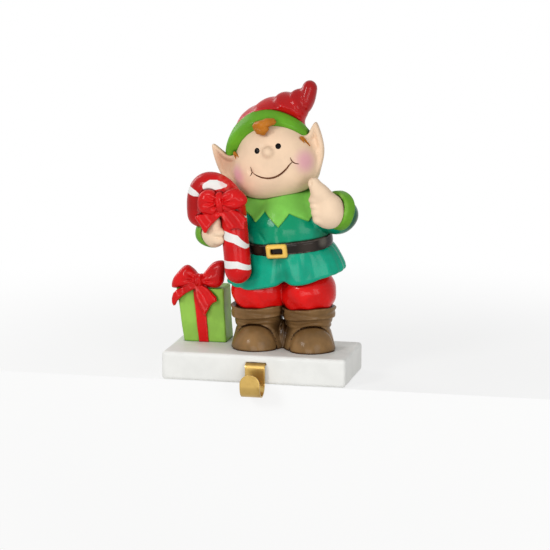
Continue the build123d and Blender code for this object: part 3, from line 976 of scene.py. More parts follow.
@dataclass
class Boots(Sculpted):
    """Two boots with folded cuffs, creased ankles and raised toe caps.

    Attributes:
        cuff: The levels between which the cuff lies.
        creases: Depth, level, swing, waves, phase and width of each crease at the ankle.
        foot: The foot's length and height.
        arch: Half the width and height of the toe cap's edge.
        web: The size of what fills the gap between the boots.
    """

    name = "boots"
    finish: Paint = BOOT_BROWN
    cell: float = 0.56
    reach: Reach = ((-21, -21, 15.5), (50, 23, 47))
    spots: Pair = (-18.2, 14.6)
    widths: Pair = (31.2, 30.0)
    depth: float = 29.0
    cuff: Pair = (19.5, 27.0)
    creases: tuple[tuple[float, ...], ...] = (
        (0.8, 14.2, 1.6, 2, 0.7, 1.1), (0.6, 17.2, 1.2, 3, 0.0, 0.9),
    )
    foot: Pair = (33, 31)
    toe: Size = (31, 34.5, 33.5)
    toe_forward: float = 5.0
    toe_turn: float = 22.0
    arch: Pair = (13.6, 15.5)
    web: Size = (7.5, 15.5, 34)
    web_spot: Spot = (-1.8, 1.5, 0)

    def one(self, p: Points, side: Side) -> Points:
        """Gives the distance to one boot.

        Args:
            p: Points in millimetres.
            side: Which boot.

        Returns:
            The signed distances, negative inside.
        """
        width = self.widths[side.number]
        q = FIGURE.within(self.spots[side.number], 0, 0).local(p)
        x, y, z = q.T
        turn = np.arctan2(x, -y)
        low, high = self.cuff
        waist = 1.0 * bell(z - 12, 5) - 1.2 * bell(z, 3.2)
        creases = sum(
            deep * bell(z - level - swing * np.sin(waves * turn + phase), wide)
            for deep, level, swing, waves, phase, wide in self.creases
        )
        leg = oval(x, y, width - 2 * waist, self.depth - 2 * waist) + creases
        leg = meet(leg, z - high + 1, 1.0)
        lip = 1.3 + 0.9 * bell(z - high, 2.2) + 0.35 * bell(z - low - 0.8, 1.0)
        lip = lip + 0.25 * np.sin(3 * turn + side.value)
        sag = 0.7 * np.sin(turn * 2 + 0.6 * side.value) + 0.5 * np.sin(turn)
        wrinkle = 0.22 * np.sin(5 * z / 3 + 2 * np.sin(2 * turn))
        fold = oval(x, y, width + 2 * lip, self.depth + 2 * lip) + wrinkle
        fold = meet(fold, np.abs(z - sag - (low + high) / 2) - (high - low) / 2 + 0.2, 1.3)
        t = q @ turning((0, 0, self.toe_turn * side.number)) + (0, self.toe_forward, 0)
        foot = join(leg, ovoid(t, (width + 0.5, *self.foot)) + 0.3, 3.0)
        ankle = join(foot, fold, 0.4)
        arch = np.hypot(t[:, 0] / self.arch[0], t[:, 2] / self.arch[1]) - 1
        edge = np.maximum((arch + 0.05 * np.maximum(t[:, 1], 0)) * 14, t[:, 1] + 2)
        cap = meet(ovoid(t, self.toe) + uneven(p, 5, 0.25), edge, 0.9)
        seam = np.hypot(edge - 0.3, cap * 0.5) - 0.55
        boot = join(meet(ankle, -seam, 0.5), cap - 0.45, 0.3)
        return meet(boot, -z - 1.8, 0.3)

    def distance(self, p: Points) -> Points:
        """Gives the signed distance from points to the boots.

        Args:
            p: Points in millimetres.

        Returns:
            The signed distances, negative inside.
        """
        web = ovoid(FIGURE.local(p) - self.web_spot, self.web)
        web = meet(web, 15.9 - p[:, 2], 0.3)
        pair = join(self.one(p, Side.LEFT), self.one(p, Side.RIGHT), 1.5)
        return join(pair, web, 2.0) + uneven(p, 2.6, 0.14)


@dataclass
class Trousers(Sculpted):
    """Puffed trouser legs that swell over the boots."""

    name = "trousers"
    finish: Paint = CLOTH_RED
    cell: float = 0.68
    reach: Reach = ((-22, -15, 37), (52, 26, 68))
    legs: tuple[Size, Size] = ((37.6, 35.6, 33), (35.6, 35.6, 33))
    spots: Pair = (-16.8, 14.0)
    level: float = 36.0

    def distance(self, p: Points) -> Points:
        """Gives the signed distance from points to the trousers.

        Args:
            p: Points in millimetres.

        Returns:
            The signed distances, negative inside.
        """
        legs = []
        for side in Side:
            q = FIGURE.within(self.spots[side.number], 0, self.level).local(p)
            turn = np.arctan2(q[:, 0], -q[:, 1])
            rumple = 0.35 * np.sin(7 * turn + 0.35 * q[:, 2]) * bell(q[:, 2] + 7, 6) + uneven(p, 4, 0.35)
            legs.append(ovoid(q, self.legs[side.number]) + rumple)
        return join(*legs, 1.2)


CHEST_LEVELS = (58, 66.5, 79, 90, 100)


@dataclass
class Tunic(Sculpted):
    """The tunic: chest, both sleeves, and a gathered skirt with a cleft at the front.

    Attributes:
        hem: The skirt's full sizes at its hem.
        waist: Its full sizes at the waist.
        hem_plane: The hem's level, and its sideways tilt and pitch in degrees.
        top_plane: The same for the skirt's top, under the belt.
        puff: How early the skirt swells out.
        pleats: Angle about the skirt in degrees, depth and width of each pleat.
    """

    name = "tunic"
    finish: Paint = TUNIC_TEAL
    cell: float = 0.62
    reach: Reach = ((-43, -22, 52), (64, 31, 120))
    hem: Pair = (78, 45)
    waist: Pair = (56, 41)
    hem_plane: Spot = (46.0, 8.0, 9.0)
    top_plane: Spot = (65.4, 5, 8)
    shoulder: Spot = (16.5, 0, 89.5)
    elbow: Spot = (33, -6, 86.5)
    arm: float = 22.0
    puff: float = 0.62
    cleft: float = 3.4
    pleats: tuple[Spot, ...] = (
        (-152, 1.0, 6), (-128, 1.1, 6), (-106, 1.0, 6), (-86, 1.0, 5), (-66, 0.9, 5), (-46, 0.6, 5),
        (-24, 0.3, 5), (26, 0.3, 6), (43, 0.55, 6), (58, 0.65, 5), (71, 0.7, 5), (84, 0.7, 5),
        (99, 0.8, 5), (118, 0.9, 6), (140, 1.0, 6), (162, 1.1, 6), (180, 0.9, 6),
    )
    widths: Profile = field(default_factory=lambda: Profile(CHEST_LEVELS, (56, 56, 55.5, 46, 24)))
    depths: Profile = field(default_factory=lambda: Profile(CHEST_LEVELS, (41, 41, 41, 33.5, 22)))

    def trunk(self, p: Points) -> Points:
        """Gives the distance to the chest and the upper arms, which the collar also follows.

        Args:
            p: Points in millimetres.

        Returns:
            The signed distances, negative inside.
        """
        q = FIGURE.local(p)
        x, y, z = q.T
        chest = meet(oval(x, y, self.widths(z), self.depths(z)), np.abs(z - 79) - 21, 2)
        right = rod(q, self.shoulder, self.elbow, self.arm)
        held = FIGURE.local(GRIP.spot(-4, 14, 4)[None])[0]
        left = rod(q, np.multiply(self.shoulder, (-1, 1, 1)), held, self.arm)
        return join(join(chest, right, 3), left, 3)

    def skirt(self, q: Points) -> Points:
        """Gives the distance to the skirt.

        Args:
            q: Points in local coordinates.

        Returns:
            The signed distances, negative inside.
        """
        x, y, z = q.T
        turn = bearing(x, y, self.hem)
        hem = incline(x, y, *self.hem_plane)
        hem = hem - 2.0 * bell(turn + 34, 24) - 1.7 * bell(turn - 24, 15) + 1.6 * bell(turn - 4, 5)
        top = incline(x, y, *self.top_plane)
        rise = np.clip((z - hem) / (top - hem), 0, 1)
        flare = (1 - rise) ** self.puff
        relief = -self.cleft * bell(turn - 4 + 3 * rise, 4.5 + 2.5 * (1 - rise)) * (1 - 0.75 * rise)
        for middle, depth, width in self.pleats:
            away = (turn - middle - 3 * rise + 180) % 360 - 180
            relief = relief - depth * bell(away, width) * (0.35 + 0.65 * (1 - rise))
            relief = relief + 0.25 * depth * bell(away - 1.9 * width, width)
        gathers = np.cos(np.radians(turn * 26 + 40 * np.sin(np.radians(3 * turn))))
        relief = relief - 0.45 * rise**3 * (0.5 + 0.5 * gathers)
        width = self.waist[0] + (self.hem[0] - self.waist[0]) * flare + 2 * relief
        depth = self.waist[1] + (self.hem[1] - self.waist[1]) * flare + 2 * relief
        body = oval(x, y, width, depth) * 0.85
        return meet(meet(body, hem - z, 3.2), z - top - 1.0, 1.0)

    def distance(self, p: Points) -> Points:
        """Gives the signed distance from points to the tunic.

        Args:
            p: Points in millimetres.

        Returns:
            The signed distances, negative inside.
        """
        q = FIGURE.local(p)
        x, y, z = q.T
        turn = bearing(x, y, self.waist)
        creases = 0.5 * bell(turn + 2, 3.5) * bell(z - 74, 6)
        creases = creases + 0.7 * bell(turn + 24 + 1.6 * (z - 72), 3) * bell(z - 72.5, 3)
        creases = creases + 0.35 * (0.5 + 0.5 * np.sin(np.radians(turn * 22))) * bell(z - 69.5, 2.6)
        creases = creases + 0.6 * bell(turn - 62 - 1.8 * (z - 80), 5) * bell(z - 80, 6)
        chest = self.trunk(p) + creases
        forearm = rod(p, GRIP.spot(-4, 14, 4), GRIP.spot(-3.8, 4, 0.5), 18, 17)
        sleeve = ovoid(RAISED.local(p) - (0, 0, 0.5), (28, 27.5, 23))
        shape = join(join(chest, forearm, 3), sleeve, 3)
        return join(shape, self.skirt(q), 0.8) + uneven(p, 4.5, 0.18)


@dataclass
class Collar(Sculpted):
    """The pointed collar that lies over the chest and shoulders.

    Attributes:
        zigzag: Turn about the body in degrees from the front, and how far down the edge comes there.
    """

    name = "collar"
    finish: Paint = COLLAR_GREEN
    cell: float = 0.56
    reach: Reach = ((-22, -19, 92), (50, 29, 120))
    tunic: Tunic = field(default_factory=Tunic)
    lift: float = 1.5
    zigzag: Outline = (
        (-166, 20), (-144, 27), (-122, 20), (-98, 27), (-80, 21), (-62, 28.5), (-50, 25.5), (-38, 28.2),
        (-26, 20), (-2, 28.3), (13, 20), (41, 26.5), (60, 20), (84, 27), (106, 20), (128, 27), (150, 20),
        (172, 27),
    )

    def distance(self, p: Points) -> Points:
        """Gives the signed distance from points to the collar.

        Args:
            p: Points in millimetres.

        Returns:
            The signed distances, negative inside.
        """
        x, y, z = FIGURE.local(p).T
        turn = bearing(x, y, self.tunic.waist)
        angles, drops = np.array(self.zigzag).T
        round_trip = np.r_[angles[-1] - 360, angles, angles[0] + 360]
        edge = np.interp(turn, round_trip, np.r_[drops[-1], drops, drops[0]])
        drop = 0.6 * np.hypot(x, y) + 0.8 * (100 - z)
        trunk = self.tunic.trunk(p)
        cloth = trunk - self.lift + 0.25 * np.sin(np.radians(turn * 8.5)) * bell(drop - 24, 6)
        return meet(meet(cloth, (drop - edge) * 0.8, 0.9), -trunk - 3, 0.5) + uneven(p, 5, 0.12)


@dataclass
class Belt(Sculpted):
    """The belt round the waist."""

    name = "belt"
    finish: Paint = BELT_BLACK
    cell: float = 0.5
    reach: Reach = ((-17, -19, 77), (46, 29, 92))
    width: float = 58.8
    depth: float = 43.8
    height: float = 7.8

    def distance(self, p: Points) -> Points:
        """Gives the signed distance from points to the belt.

        Args:
            p: Points in millimetres.

        Returns:
            The signed distances, negative inside.
        """
        x, y, z = BELT.local(p).T
        turn = np.arctan2(x, -y)
        z = z - 0.5 * np.sin(3 * turn + 0.4)
        strap = oval(x, y, self.width, self.depth) + 0.18 * bell(np.abs(z) - 2.6, 0.5)
        return meet(strap, np.abs(z) - self.height / 2, 1.3) + uneven(p, 3, 0.2)


@dataclass
class Buckle(Sculpted):
    """The open gold buckle."""

    name = "buckle"
    finish: Paint = BUCKLE_GOLD
    cell: float = 0.3
    reach: Reach = BUCKLE.around((8, 4, 7), (8, 4, 7))
    outer: Size = (6.8, 4.5, 2.0)
    opening: Pair = (3.9, 1.9)

    def distance(self, p: Points) -> Points:
        """Gives the signed distance from points to the buckle.

        Args:
            p: Points in millimetres.

        Returns:
            The signed distances, negative inside.
        """
        q = BUCKLE.local(p)
        ring = slab(q, self.outer, 1.7)
        hole = slab(q, (*self.opening, 9), 0.9)
        return meet(ring, -hole, 1.0) + uneven(p, 2, 0.1)


@dataclass
class Head(Sculpted):
    """The leaning head: cheeks, nose, mouth corners and the two pointed ears."""

    name = "head"
    finish: Paint = FACE_SKIN
    cell: float = 0.5
    reach: Reach = ((-36, -25, 110), (46, 27, 170))
    skull: Size = (49, 43, 52)
    jowl: Size = (56, 42, 38)
    jowl_shift: Spot = (1.2, 0, 6.0)
    jaw: float = 21.0
    nose: Spot = (1.2, -21.6, 5.4)
    nose_size: float = 6.4
    ear_back: Pair = (-5.5, -3.5)
    ear_sweep: float = 0.22
    leaves: tuple[Outline, ...] = (
        ((-19, 7), (-28.2, 6.8), (-31.6, 11), (-37.6, 18.0), (-38.3, 10.6), (-38, 5), (-37.2, -1),
         (-35.4, -6.2), (-32, -11), (-28, -13), (-19, -12)),
        ((18, 8.5), (24, 8.6), (26.8, 12.2), (31, 17), (32, 10), (32.2, 3), (31.6, -3.4),
         (29.2, -9.6), (25.6, -14.6), (22, -17.2), (18, -15)),
    )
    mouth_corners: Outline = ((-13.2, -4.4), (15.2, -3.6))
    neck: float = 22.0

    def bare(self, p: Points) -> Points:
        """Gives the distance to the head without its features.

        Args:
            p: Points in millimetres.

        Returns:
            The signed distances, negative inside.
        """
        q = FACE.local(p)
        low = q + self.jowl_shift
        x, y, z = (np.abs(low) / np.array(self.jowl) * 2).T
        square = (x**3 + z**3) ** (1 / 3) - np.hypot(x, z)
        jowl = ovoid(low, self.jowl) + np.where(low[:, 2] < 0, square, 0) * self.jaw
        return join(ovoid(q, self.skull), jowl, 6)

    def ear(self, p: Points, side: Side) -> Points:
        """Gives the distance to one ear, hollow at the front.

        Args:
            p: Points in millimetres.
            side: Which ear.

        Returns:
            The signed distances, negative inside.
        """
        x, y, z = FACE.local(p).T
        rim = outline(x, z, rounded(self.leaves[side.number]))
        back = y - self.ear_back[side.number] - self.ear_sweep * (np.abs(x) - 24)
        inner = 2.2 * np.clip((-rim - 1.5) / 2.6, 0, 1) ** 1.5
        inner = inner - 1.3 * bell(np.hypot(np.abs(x) - 26.5, z + 2.5) - 1.2, 1.6)
        return meet(meet(rim, -back - 2.5 + inner, 1.5), back - 2.8, 2.2)

    def distance(self, p: Points) -> Points:
        """Gives the signed distance from points to the head.

        Args:
            p: Points in millimetres.

        Returns:
            The signed distances, negative inside.
        """
        q = FACE.local(p)
        shape = join(self.bare(p), ovoid(q - self.nose, (self.nose_size,) * 3), 2.6)
        for x, z in self.mouth_corners:
            dimple = np.linalg.norm((q - (x, -21.2, z)) * (1, 0.8, 0.8), axis=1) - 1.4
            shape = meet(shape, -dimple, 2.2)
        for side in Side:
            shape = join(shape, self.ear(p, side), 2.6)
        neck = rod(p, FACE.origin, FIGURE.spot(0, 0, 96), self.neck)
        return join(shape, neck, 2.0) + uneven(p, 6, 0.12)


@dataclass
class Band(Sculpted):
    """The thick rolled band of the hat."""

    name = "hat_band"
    finish: Paint = LEAF_GREEN
    cell: float = 0.62
    reach: Reach = ((-28, -20, 108), (42, 30, 173))
    size: float = 59.0
    thickness: float = 9.0
    over: Size = (55, 51.5, 69)
    cover: Pair = (7.8, 2.0)

    def edge(self, turn: Points) -> Points:
        """Gives how far the band runs up the hood at angles about it."""
        return self.cover[0] + self.cover[1] * bell(turn - 0.3, 0.7)

    def distance(self, p: Points) -> Points:
        """Gives the signed distance from points to the band.

        Args:
            p: Points in millimetres.

        Returns:
            The signed distances, negative inside.
        """
        x, y, z = BRIM.local(p).T
        turn = np.arctan2(x, -y)
        rim = np.hypot(x, y) - self.size / 2 - 0.35 * np.sin(3 * turn) - 0.25 * np.sin(7 * turn + 1)
        roll = np.abs(z - self.thickness / 2 - 0.4 * np.sin(2 * turn)) - self.thickness / 2
        high = self.edge(turn)
        upper = meet(ovoid(FACE.local(p) - HOOD_SHIFT, self.over), np.abs(z - high / 2) - high / 2, 0.8)
        return join(meet(rim, roll, 4.2), upper, 2.0) + uneven(p, 3.5, 0.16)


@dataclass
class Hat(Sculpted):
    """The hood and its bent, folded point.

    Attributes:
        bends: Control points of the point's middle line, sideways and upwards on the head.
        folds: Angle about the bend in degrees, depth and width of each crease.
    """

    name = "hat"
    finish: Paint = HAT_RED
    cell: float = 0.55
    reach: Reach = ((-27, -21, 106), (42, 33, 191))
    hood: Size = (53.5, 50, 67.5)
    bends: Outline = ((0, 16), (10, 27), (23, 26), (29.6, 36.4))
    back: float = 4.0
    root: float = 37.0
    tip: float = 9.5
    taper: float = 1.2
    pivot: Pair = (29, 163)
    folds: tuple[Spot, ...] = (
        (188, 1.1, 5), (171, 1.4, 6), (153, 1.5, 6.5), (132, 1.2, 7), (110, 1.4, 9),
    )

    def line(self) -> Points:
        """Gives points along the middle of the hat's point.

        Returns:
            The points, from the hood to the tip.
        """
        t = np.linspace(0, 1, 22)[:, None]
        a, b, c, d = (np.array(stop, float) for stop in self.bends)
        flat = (1 - t) ** 3 * a + 3 * (1 - t) ** 2 * t * b + 3 * (1 - t) * t**2 * c + t**3 * d
        return np.array([FACE.spot(side, self.back, rise) for side, rise in flat])

    def distance(self, p: Points) -> Points:
        """Gives the signed distance from points to the hat.

        Args:
            p: Points in millimetres.

        Returns:
            The signed distances, negative inside.
        """
        hood = ovoid(FACE.local(p) - HOOD_SHIFT, self.hood)
        spine = self.line()
        cone = np.full(len(p), 1e9)
        for here in range(len(spine) - 1):
            shares = np.array([here, here + 1]) / (len(spine) - 1)
            sizes = self.tip + (self.root - self.tip) * (1 - shares) ** self.taper
            cone = np.minimum(cone, rod(p, spine[here], spine[here + 1], *sizes))
        shape = join(hood, cone, 3.5)
        x, z = p[:, 0] - self.pivot[0], p[:, 2] - self.pivot[1]
        angle = np.degrees(np.arctan2(z, x)) % 360
        far = np.hypot(x, z)
        lean = angle + 0.25 * (p[:, 1] - 3) + 5 * np.sin(p[:, 1] / 9)
        share = bell(np.maximum(far - 30, 0), 16) * np.clip((far - 3) / 8, 0, 1)
        for middle, depth, width in self.folds:
            step = lean - middle
            groove = bell(step, width) - 0.7 * bell(step + 2.2 * width, 1.6 * width)
            shape = shape + share * depth * groove
        side, ahead, up = BRIM.local(p).T
        start = Band().edge(np.arctan2(side, -ahead)) - 1.2
        return meet(shape, start - up, 0.6) + uneven(p, 4, 0.18)


@dataclass
class Hair(Sculpted):
    """The curl on the forehead and a small tuft by each ear."""

    name = "hair"
    finish: Paint = HAIR_BROWN
    cell: float = 0.32
    reach: Reach = ((-22, -22, 134), (36, 0, 172))
    sweep: tuple[Spot, ...] = (
        (-2.6, -17.0, 22.2), (0.4, -18.4, 22.4), (4.2, -18.4, 23.2), (7.4, -16.8, 22.8),
    )
    sweep_size: Pair = (6.4, 4.4)
    curl: tuple[Spot, ...] = (
        (-2.8, -17.0, 21.6), (-1.8, -18.8, 19.8), (0.4, -19.4, 18.6), (2.2, -19.0, 19.8),
        (1.8, -18.8, 21.0),
    )
    curl_size: Pair = (5.0, 4.0)
    tuft_size: Pair = (1.6, 0.7)
    tufts: tuple[tuple[Spot, Spot], ...] = (
        ((-23.0, -9.5, 8.6), (-20.4, -12.6, 5.6)),
        ((-23.4, -9.0, 8.0), (-22.6, -10.0, 3.8)),
        ((21.2, -10.6, 9.0), (22.0, -9.4, 5.0)),
        ((22.0, -9.4, 8.6), (24.6, -7.2, 2.4)),
    )

    def distance(self, p: Points) -> Points:
        """Gives the signed distance from points to the hair.

        Args:
            p: Points in millimetres.

        Returns:
            The signed distances, negative inside.
        """
        q = FACE.local(p)
        grooves = 0.14 * np.sin(2.3 * (q[:, 2] - 0.3 * q[:, 0]) + 0.4 * q[:, 0])
        swept = lock(q, self.sweep, *self.sweep_size, 1.5)
        shape = join(swept, lock(q, self.curl, *self.curl_size, 1.0), 0.5) + grooves
        for start, end in self.tufts:
            shape = join(shape, rod(q, start, end, *self.tuft_size), 0.5)
        return shape


@dataclass
class Cuffs(Sculpted):
    """The rolled cuffs of both sleeves, each with its width and height."""

    name = "cuffs"
    finish: Paint = CUFF_GREEN
    cell: float = 0.45
    reach: Reach = ((-46, -26, 80), (66, 8, 124))
    raised: Place = field(default_factory=lambda: RAISED.within(2.5, -7.0, 4.5, (76, -36, 0)))
    raised_size: Pair = (24.5, 8)
    lowered: Place = field(default_factory=lambda: GRIP.within(-3.8, 0.5, -0.4, (86, 22, 0)))
    lowered_size: Pair = (20.5, 7.5)

    def ring(self, p: Points, place: Place, size: float, height: float) -> Points:
        """Gives the distance to one rolled cuff.

        Args:
            p: Points in millimetres.
            place: The cuff's frame, with z along the sleeve.
            size: Its width.
            height: Its height.

        Returns:
            The signed distances, negative inside.
        """
        x, y, z = place.local(p).T
        turn = np.arctan2(y, x)
        rim = np.hypot(x, y) - size / 2 - 0.3 * np.sin(4 * turn)
        roll = meet(rim + 0.12 * z, np.abs(z) - height / 2, 2.6)
        dish = np.hypot(x, y) - size / 2 + 3.2
        return meet(roll, -meet(dish, 1.0 - z, 0.4), 0.8)

    def distance(self, p: Points) -> Points:
        """Gives the signed distance from points to the cuffs."""
        raised = self.ring(p, self.raised, *self.raised_size)
        return np.minimum(raised, self.ring(p, self.lowered, *self.lowered_size)) + uneven(p, 3, 0.15)


@dataclass
class RaisedHand(Sculpted):
    """The fist with its thumb up."""

    name = "raised_hand"
    finish: Paint = SKIN
    cell: float = 0.42
    reach: Reach = ((26, -30, 94), (60, 2, 142))
    fist: Size = (20.5, 18, 21)
    finger: Size = (8.2, 9, 5.7)
    fingers: tuple[Spot, ...] = ((-5.8, -3, 6.2), (-5, -3, 2.4), (-4, -3, -1.8), (-3, -3, -6.2))
    thumb: tuple[Spot, ...] = ((3.5, -1.0, 3.0), (-2.6, -3.2, 10.4), (-6.2, -4.0, 16.6))
    thumb_size: Pair = (13.5, 7.8)
    nail: Spot = (-8.2, -8.0, 17.4)
    wrist: float = 17.0

    def distance(self, p: Points) -> Points:
        """Gives the signed distance from points to the fist.

        Args:
            p: Points in millimetres.

        Returns:
            The signed distances, negative inside.
        """
        q = PALM.local(p)
        shape = ovoid(q - (1.5, 0.5, -1.5), self.fist)
        shape = join(shape, rod(q, (3, 3, -2), (5.5, 7, -2), self.wrist), 4)
        for finger in self.fingers:
            shape = join(shape, ovoid(q - finger, self.finger), 1.6)
        shape = join(shape, lock(q, self.thumb, *self.thumb_size, 2.5), 2.4)
        nail = np.linalg.norm((q - self.nail) * (1, 1.2, 0.8), axis=1) - 1.7
        return meet(shape, -nail, 0.7) + uneven(p, 3, 0.12)


@dataclass
class LoweredHand(Sculpted):
    """The hand that holds the cane."""

    name = "lowered_hand"
    finish: Paint = SKIN
    cell: float = 0.42
    reach: Reach = ((-42, -34, 80), (-10, -2, 112))
    palm: Size = (14, 15, 17)
    finger: Size = (9, 7, 6)
    fingers: tuple[Spot, ...] = ((2.8, -9.0, 0.4), (2.0, -8.5, -4.6))
    pointer: tuple[Spot, ...] = ((-0.5, -6.5, 2.0), (1.0, -8.0, 5.0), (2.0, -8.5, 7.2))
    pointer_size: Pair = (9.0, 6.0)
    wrist: float = 14.0

    def distance(self, p: Points) -> Points:
        """Gives the signed distance from points to the hand.

        Args:
            p: Points in millimetres.

        Returns:
            The signed distances, negative inside.
        """
        q = GRIP.local(p)
        wrist = rod(q, (-2, -3, -1), (-3.5, 4, 0), self.wrist)
        shape = join(ovoid(q - (-1.5, -4, -1.4), self.palm), wrist, 2)
        for finger in self.fingers:
            shape = join(shape, ovoid(q - finger, self.finger), 0.9)
        pointer = lock(q, self.pointer, *self.pointer_size, 1.0)
        return join(shape, pointer, 1.4) + uneven(p, 2.6, 0.12)


@dataclass
class Cane(Sculpted):
    """The candy cane: a rod swept along a hooked path.

    Attributes:
        crook: The bend's width, where it starts up the rod, and how far it rises.
        lean: How far the bend's top leans over.
        tail: How far the rod runs down after the bend.
    """

    name = "candy_cane"
    finish: Paint = CANE_RED
    reach: Reach = ((-48, -28, 61), (-1, -10, 136))
    size: float = 16.6
    crook: Size = (21.0, 38.0, 16.7)
    lean: float = 2.8
    tail: float = 1.0

    def path(self) -> tuple[Points, np.ndarray]:
        """Gives points along the middle line with the rod's radius at each.

        Returns:
            The points and the radii.
        """
        width, bend, rise = self.crook
        r, c = self.size / 2, width / 2
        ends = np.radians(np.arange(88, -1, -8))
        stops = [(0, -r * math.sin(a), r * math.cos(a)) for a in ends]
        stops += [(0, up, r) for up in np.linspace(1, bend, 50)]
        stops += [
            (-c + c * math.cos(a) - self.lean * math.sin(a) ** 2, bend + rise * math.sin(a), r)
            for a in np.linspace(0.03, math.pi, 110)
        ]
        stops += [(-width, bend - self.tail - r * math.sin(a), r * math.cos(a)) for a in ends[::-1]]
        spots = np.array([CANE.spot(x, 0, z) for x, z, _ in stops])
        return spots, np.array([size for _, _, size in stops])

    def distance(self, p: Points) -> Points:
        """Gives the signed distance from points to the cane.

        Args:
            p: Points in millimetres.

        Returns:
            The signed distances, negative inside.
        """
        x, y, z = CANE.local(p).T
        width, bend, rise = self.crook
        shaft = np.hypot(np.hypot(x, y), z - np.clip(z, 0, bend))
        over = x + width / 2 + self.lean * np.clip((z - bend) / rise, 0, 1) ** 2
        arc = np.hypot(oval(over, z - bend, np.full(len(x), width), np.full(len(x), 2 * rise)), y)
        arc = np.where(z > bend, arc, FAR)
        tail = np.hypot(np.hypot(x + width, y), z - np.clip(z, bend - self.tail, bend))
        return np.minimum(np.minimum(shaft, arc), tail) - self.size / 2

    def build(self) -> bpy.types.Object:
        """Sweeps the rod with Geometry Nodes."""
        return SweptRod("swept_cane", sides=96).make(self.name, [self.path()])


@dataclass
class Bow(Sculpted):
    """A moulded ribbon bow: two puffed loops, a creased knot and two tails.

    Attributes:
        place: The bow's frame, with x to the right, y up and z forwards.
        loops: The outline of each loop.
        puff: How far forward the loops lie, the width of their round edge, and half their depth.
        tails: The outline of each tail.
        knot: The knot's size.
        tail_front: How far forward the tails lie.
    """

    name = "cane_bow"
    finish: Paint = BOW_RED
    cell: float = 0.42
    reach: Reach = CANE_BOW.around((24, 9, 24), (24, 9, 18))
    place: Place = CANE_BOW
    loops: tuple[Outline, ...] = (
        ((-11.5, 7.9), (-6.2, 8.6), (-1.6, 5.9), (-0.8, -1), (-2.4, -6.8), (-7.8, -7.4), (-14.2, -5.4),
         (-14.9, 2)),
        ((0.8, 4.2), (4.5, 6.6), (9.2, 9.0), (14, 6.6), (17.9, 1), (15.6, -2.9), (10.2, -5.0), (3, -6.2),
         (0.4, -2)),
    )
    puff: Size = (1.6, 5.2, 4.8)
    tails: tuple[Outline, ...] = (
        ((1, -3), (-5, -5), (-11, -6), (-18, -8.2), (-15.6, -11.4), (-14, -14), (-12, -20.4), (-8.2, -15),
         (-3.6, -11.3), (1.5, -7)),
        ((-1, -4), (4, -4.6), (10.4, -5.3), (16.4, -12), (14.2, -14), (14.6, -18.4), (8, -16.8), (4, -18),
         (1.6, -12.6), (-1, -7)),
    )
    knot: Size = (7.2, 13.0, 9.0)
    tail_front: float = 1.2

    def distance(self, p: Points) -> Points:
        """Gives the signed distance from points to the bow.

        Args:
            p: Points in millimetres.

        Returns:
            The signed distances, negative inside.
        """
        q = self.place.local(p)
        x, y, z = q.T
        turn = np.arctan2(y, np.abs(x) + 0.3)
        out = np.hypot(x, y)
        pleat = 0.6 * np.cos(10 * turn + 0.8 * np.sin(3 * turn)) * bell(out - 5.5, 4.5)
        shape = None
        forward, edge, deep = self.puff
        for corners in self.loops:
            rim = np.maximum(outline(x, y, rounded(corners)) + edge, 0) / edge
            loop = (np.hypot(rim, (z - forward) / deep) - 1) * deep
            shape = loop if shape is None else join(shape, loop, 0.6)
        shape = shape + pleat
        for corners in self.tails:
            leaf = outline(x, y, rounded(corners, 1))
            wave = z - self.tail_front - 0.7 * np.sin(0.55 * x + 0.35 * y)
            shape = join(shape, meet(leaf, np.abs(wave) - 1.7, 1.6), 0.7)
        creased = 0.4 * np.cos(2.2 * x + 0.5 * np.sin(y)) + 0.3 * bell(y - 0.6 * x, 0.7)
        shape = join(shape, ovoid(q - (0, 0.3, 2.4), self.knot) + creased * bell(out, 6), 0.4)
        return shape + uneven(p, 2.4, 0.15)


@dataclass
class Gift(Sculpted):
    """The wrapped box, wider at its top and leaning."""

    name = "gift_box"
    finish: Paint = GIFT_GREEN
    cell: float = 0.6
    reach: Reach = ((-61, 4, 15.5), (-23, 28, 55))
    size: Size = (27.5, 20, 37)
    flare: float = 0.13
    lean: float = -3.6
    rounding: float = 1.4
    foot: float = 16.2

    def shell(self, p: Points, grow: float = 0.0) -> tuple[Points, Points]:
        """Gives the distance to the box, and the place across it.

        Args:
            p: Points in millimetres.
            grow: How far the box is grown on every side.

        Returns:
            The signed distances, and the places across the box.
        """
        q = GIFT.local(p)
        share = np.clip(q[:, 2] / self.size[2], -0.1, 1.2)
        across = (q[:, 0] - self.lean * share) / (1 + self.flare * share)
        flat = np.stack([across, q[:, 1], q[:, 2] - self.size[2] / 2], 1)
        half = tuple(part / 2 + grow for part in self.size)
        return slab(flat, half, self.rounding + grow / 2), across

    def distance(self, p: Points) -> Points:
        """Gives the signed distance from points to the gift.

        Args:
            p: Points in millimetres.

        Returns:
            The signed distances, negative inside.
        """
        box, across = self.shell(p)
        dent = 0.35 * bell(across, 9) * bell(GIFT.local(p)[:, 2] - 18, 12)
        return meet(box + dent, -p[:, 2] + self.foot, 0.3) + uneven(p, 6, 0.25)


@dataclass
class GiftRibbon(Sculpted):
    """The ribbon laid over the gift from its front to its back."""

    name = "gift_ribbon"
    finish: Paint = BOW_RED
    cell: float = 0.45
    reach: Reach = ((-62, 3, 15.5), (-22, 29, 56))
    gift: Gift = field(default_factory=Gift)
    half: float = 3.2
    lift: float = 0.9

    def distance(self, p: Points) -> Points:
        """Gives the signed distance from points to the ribbon.

        Args:
            p: Points in millimetres.

        Returns:
            The signed distances, negative inside.
        """
        shell, across = self.gift.shell(p, self.lift)
        band = meet(shell, np.abs(across + 0.6) - self.half, 0.7)
        return meet(band, -p[:, 2] + self.gift.foot, 0.3) + uneven(p, 3, 0.12)


# ---------------------------------------------------------------- Geometry Nodes


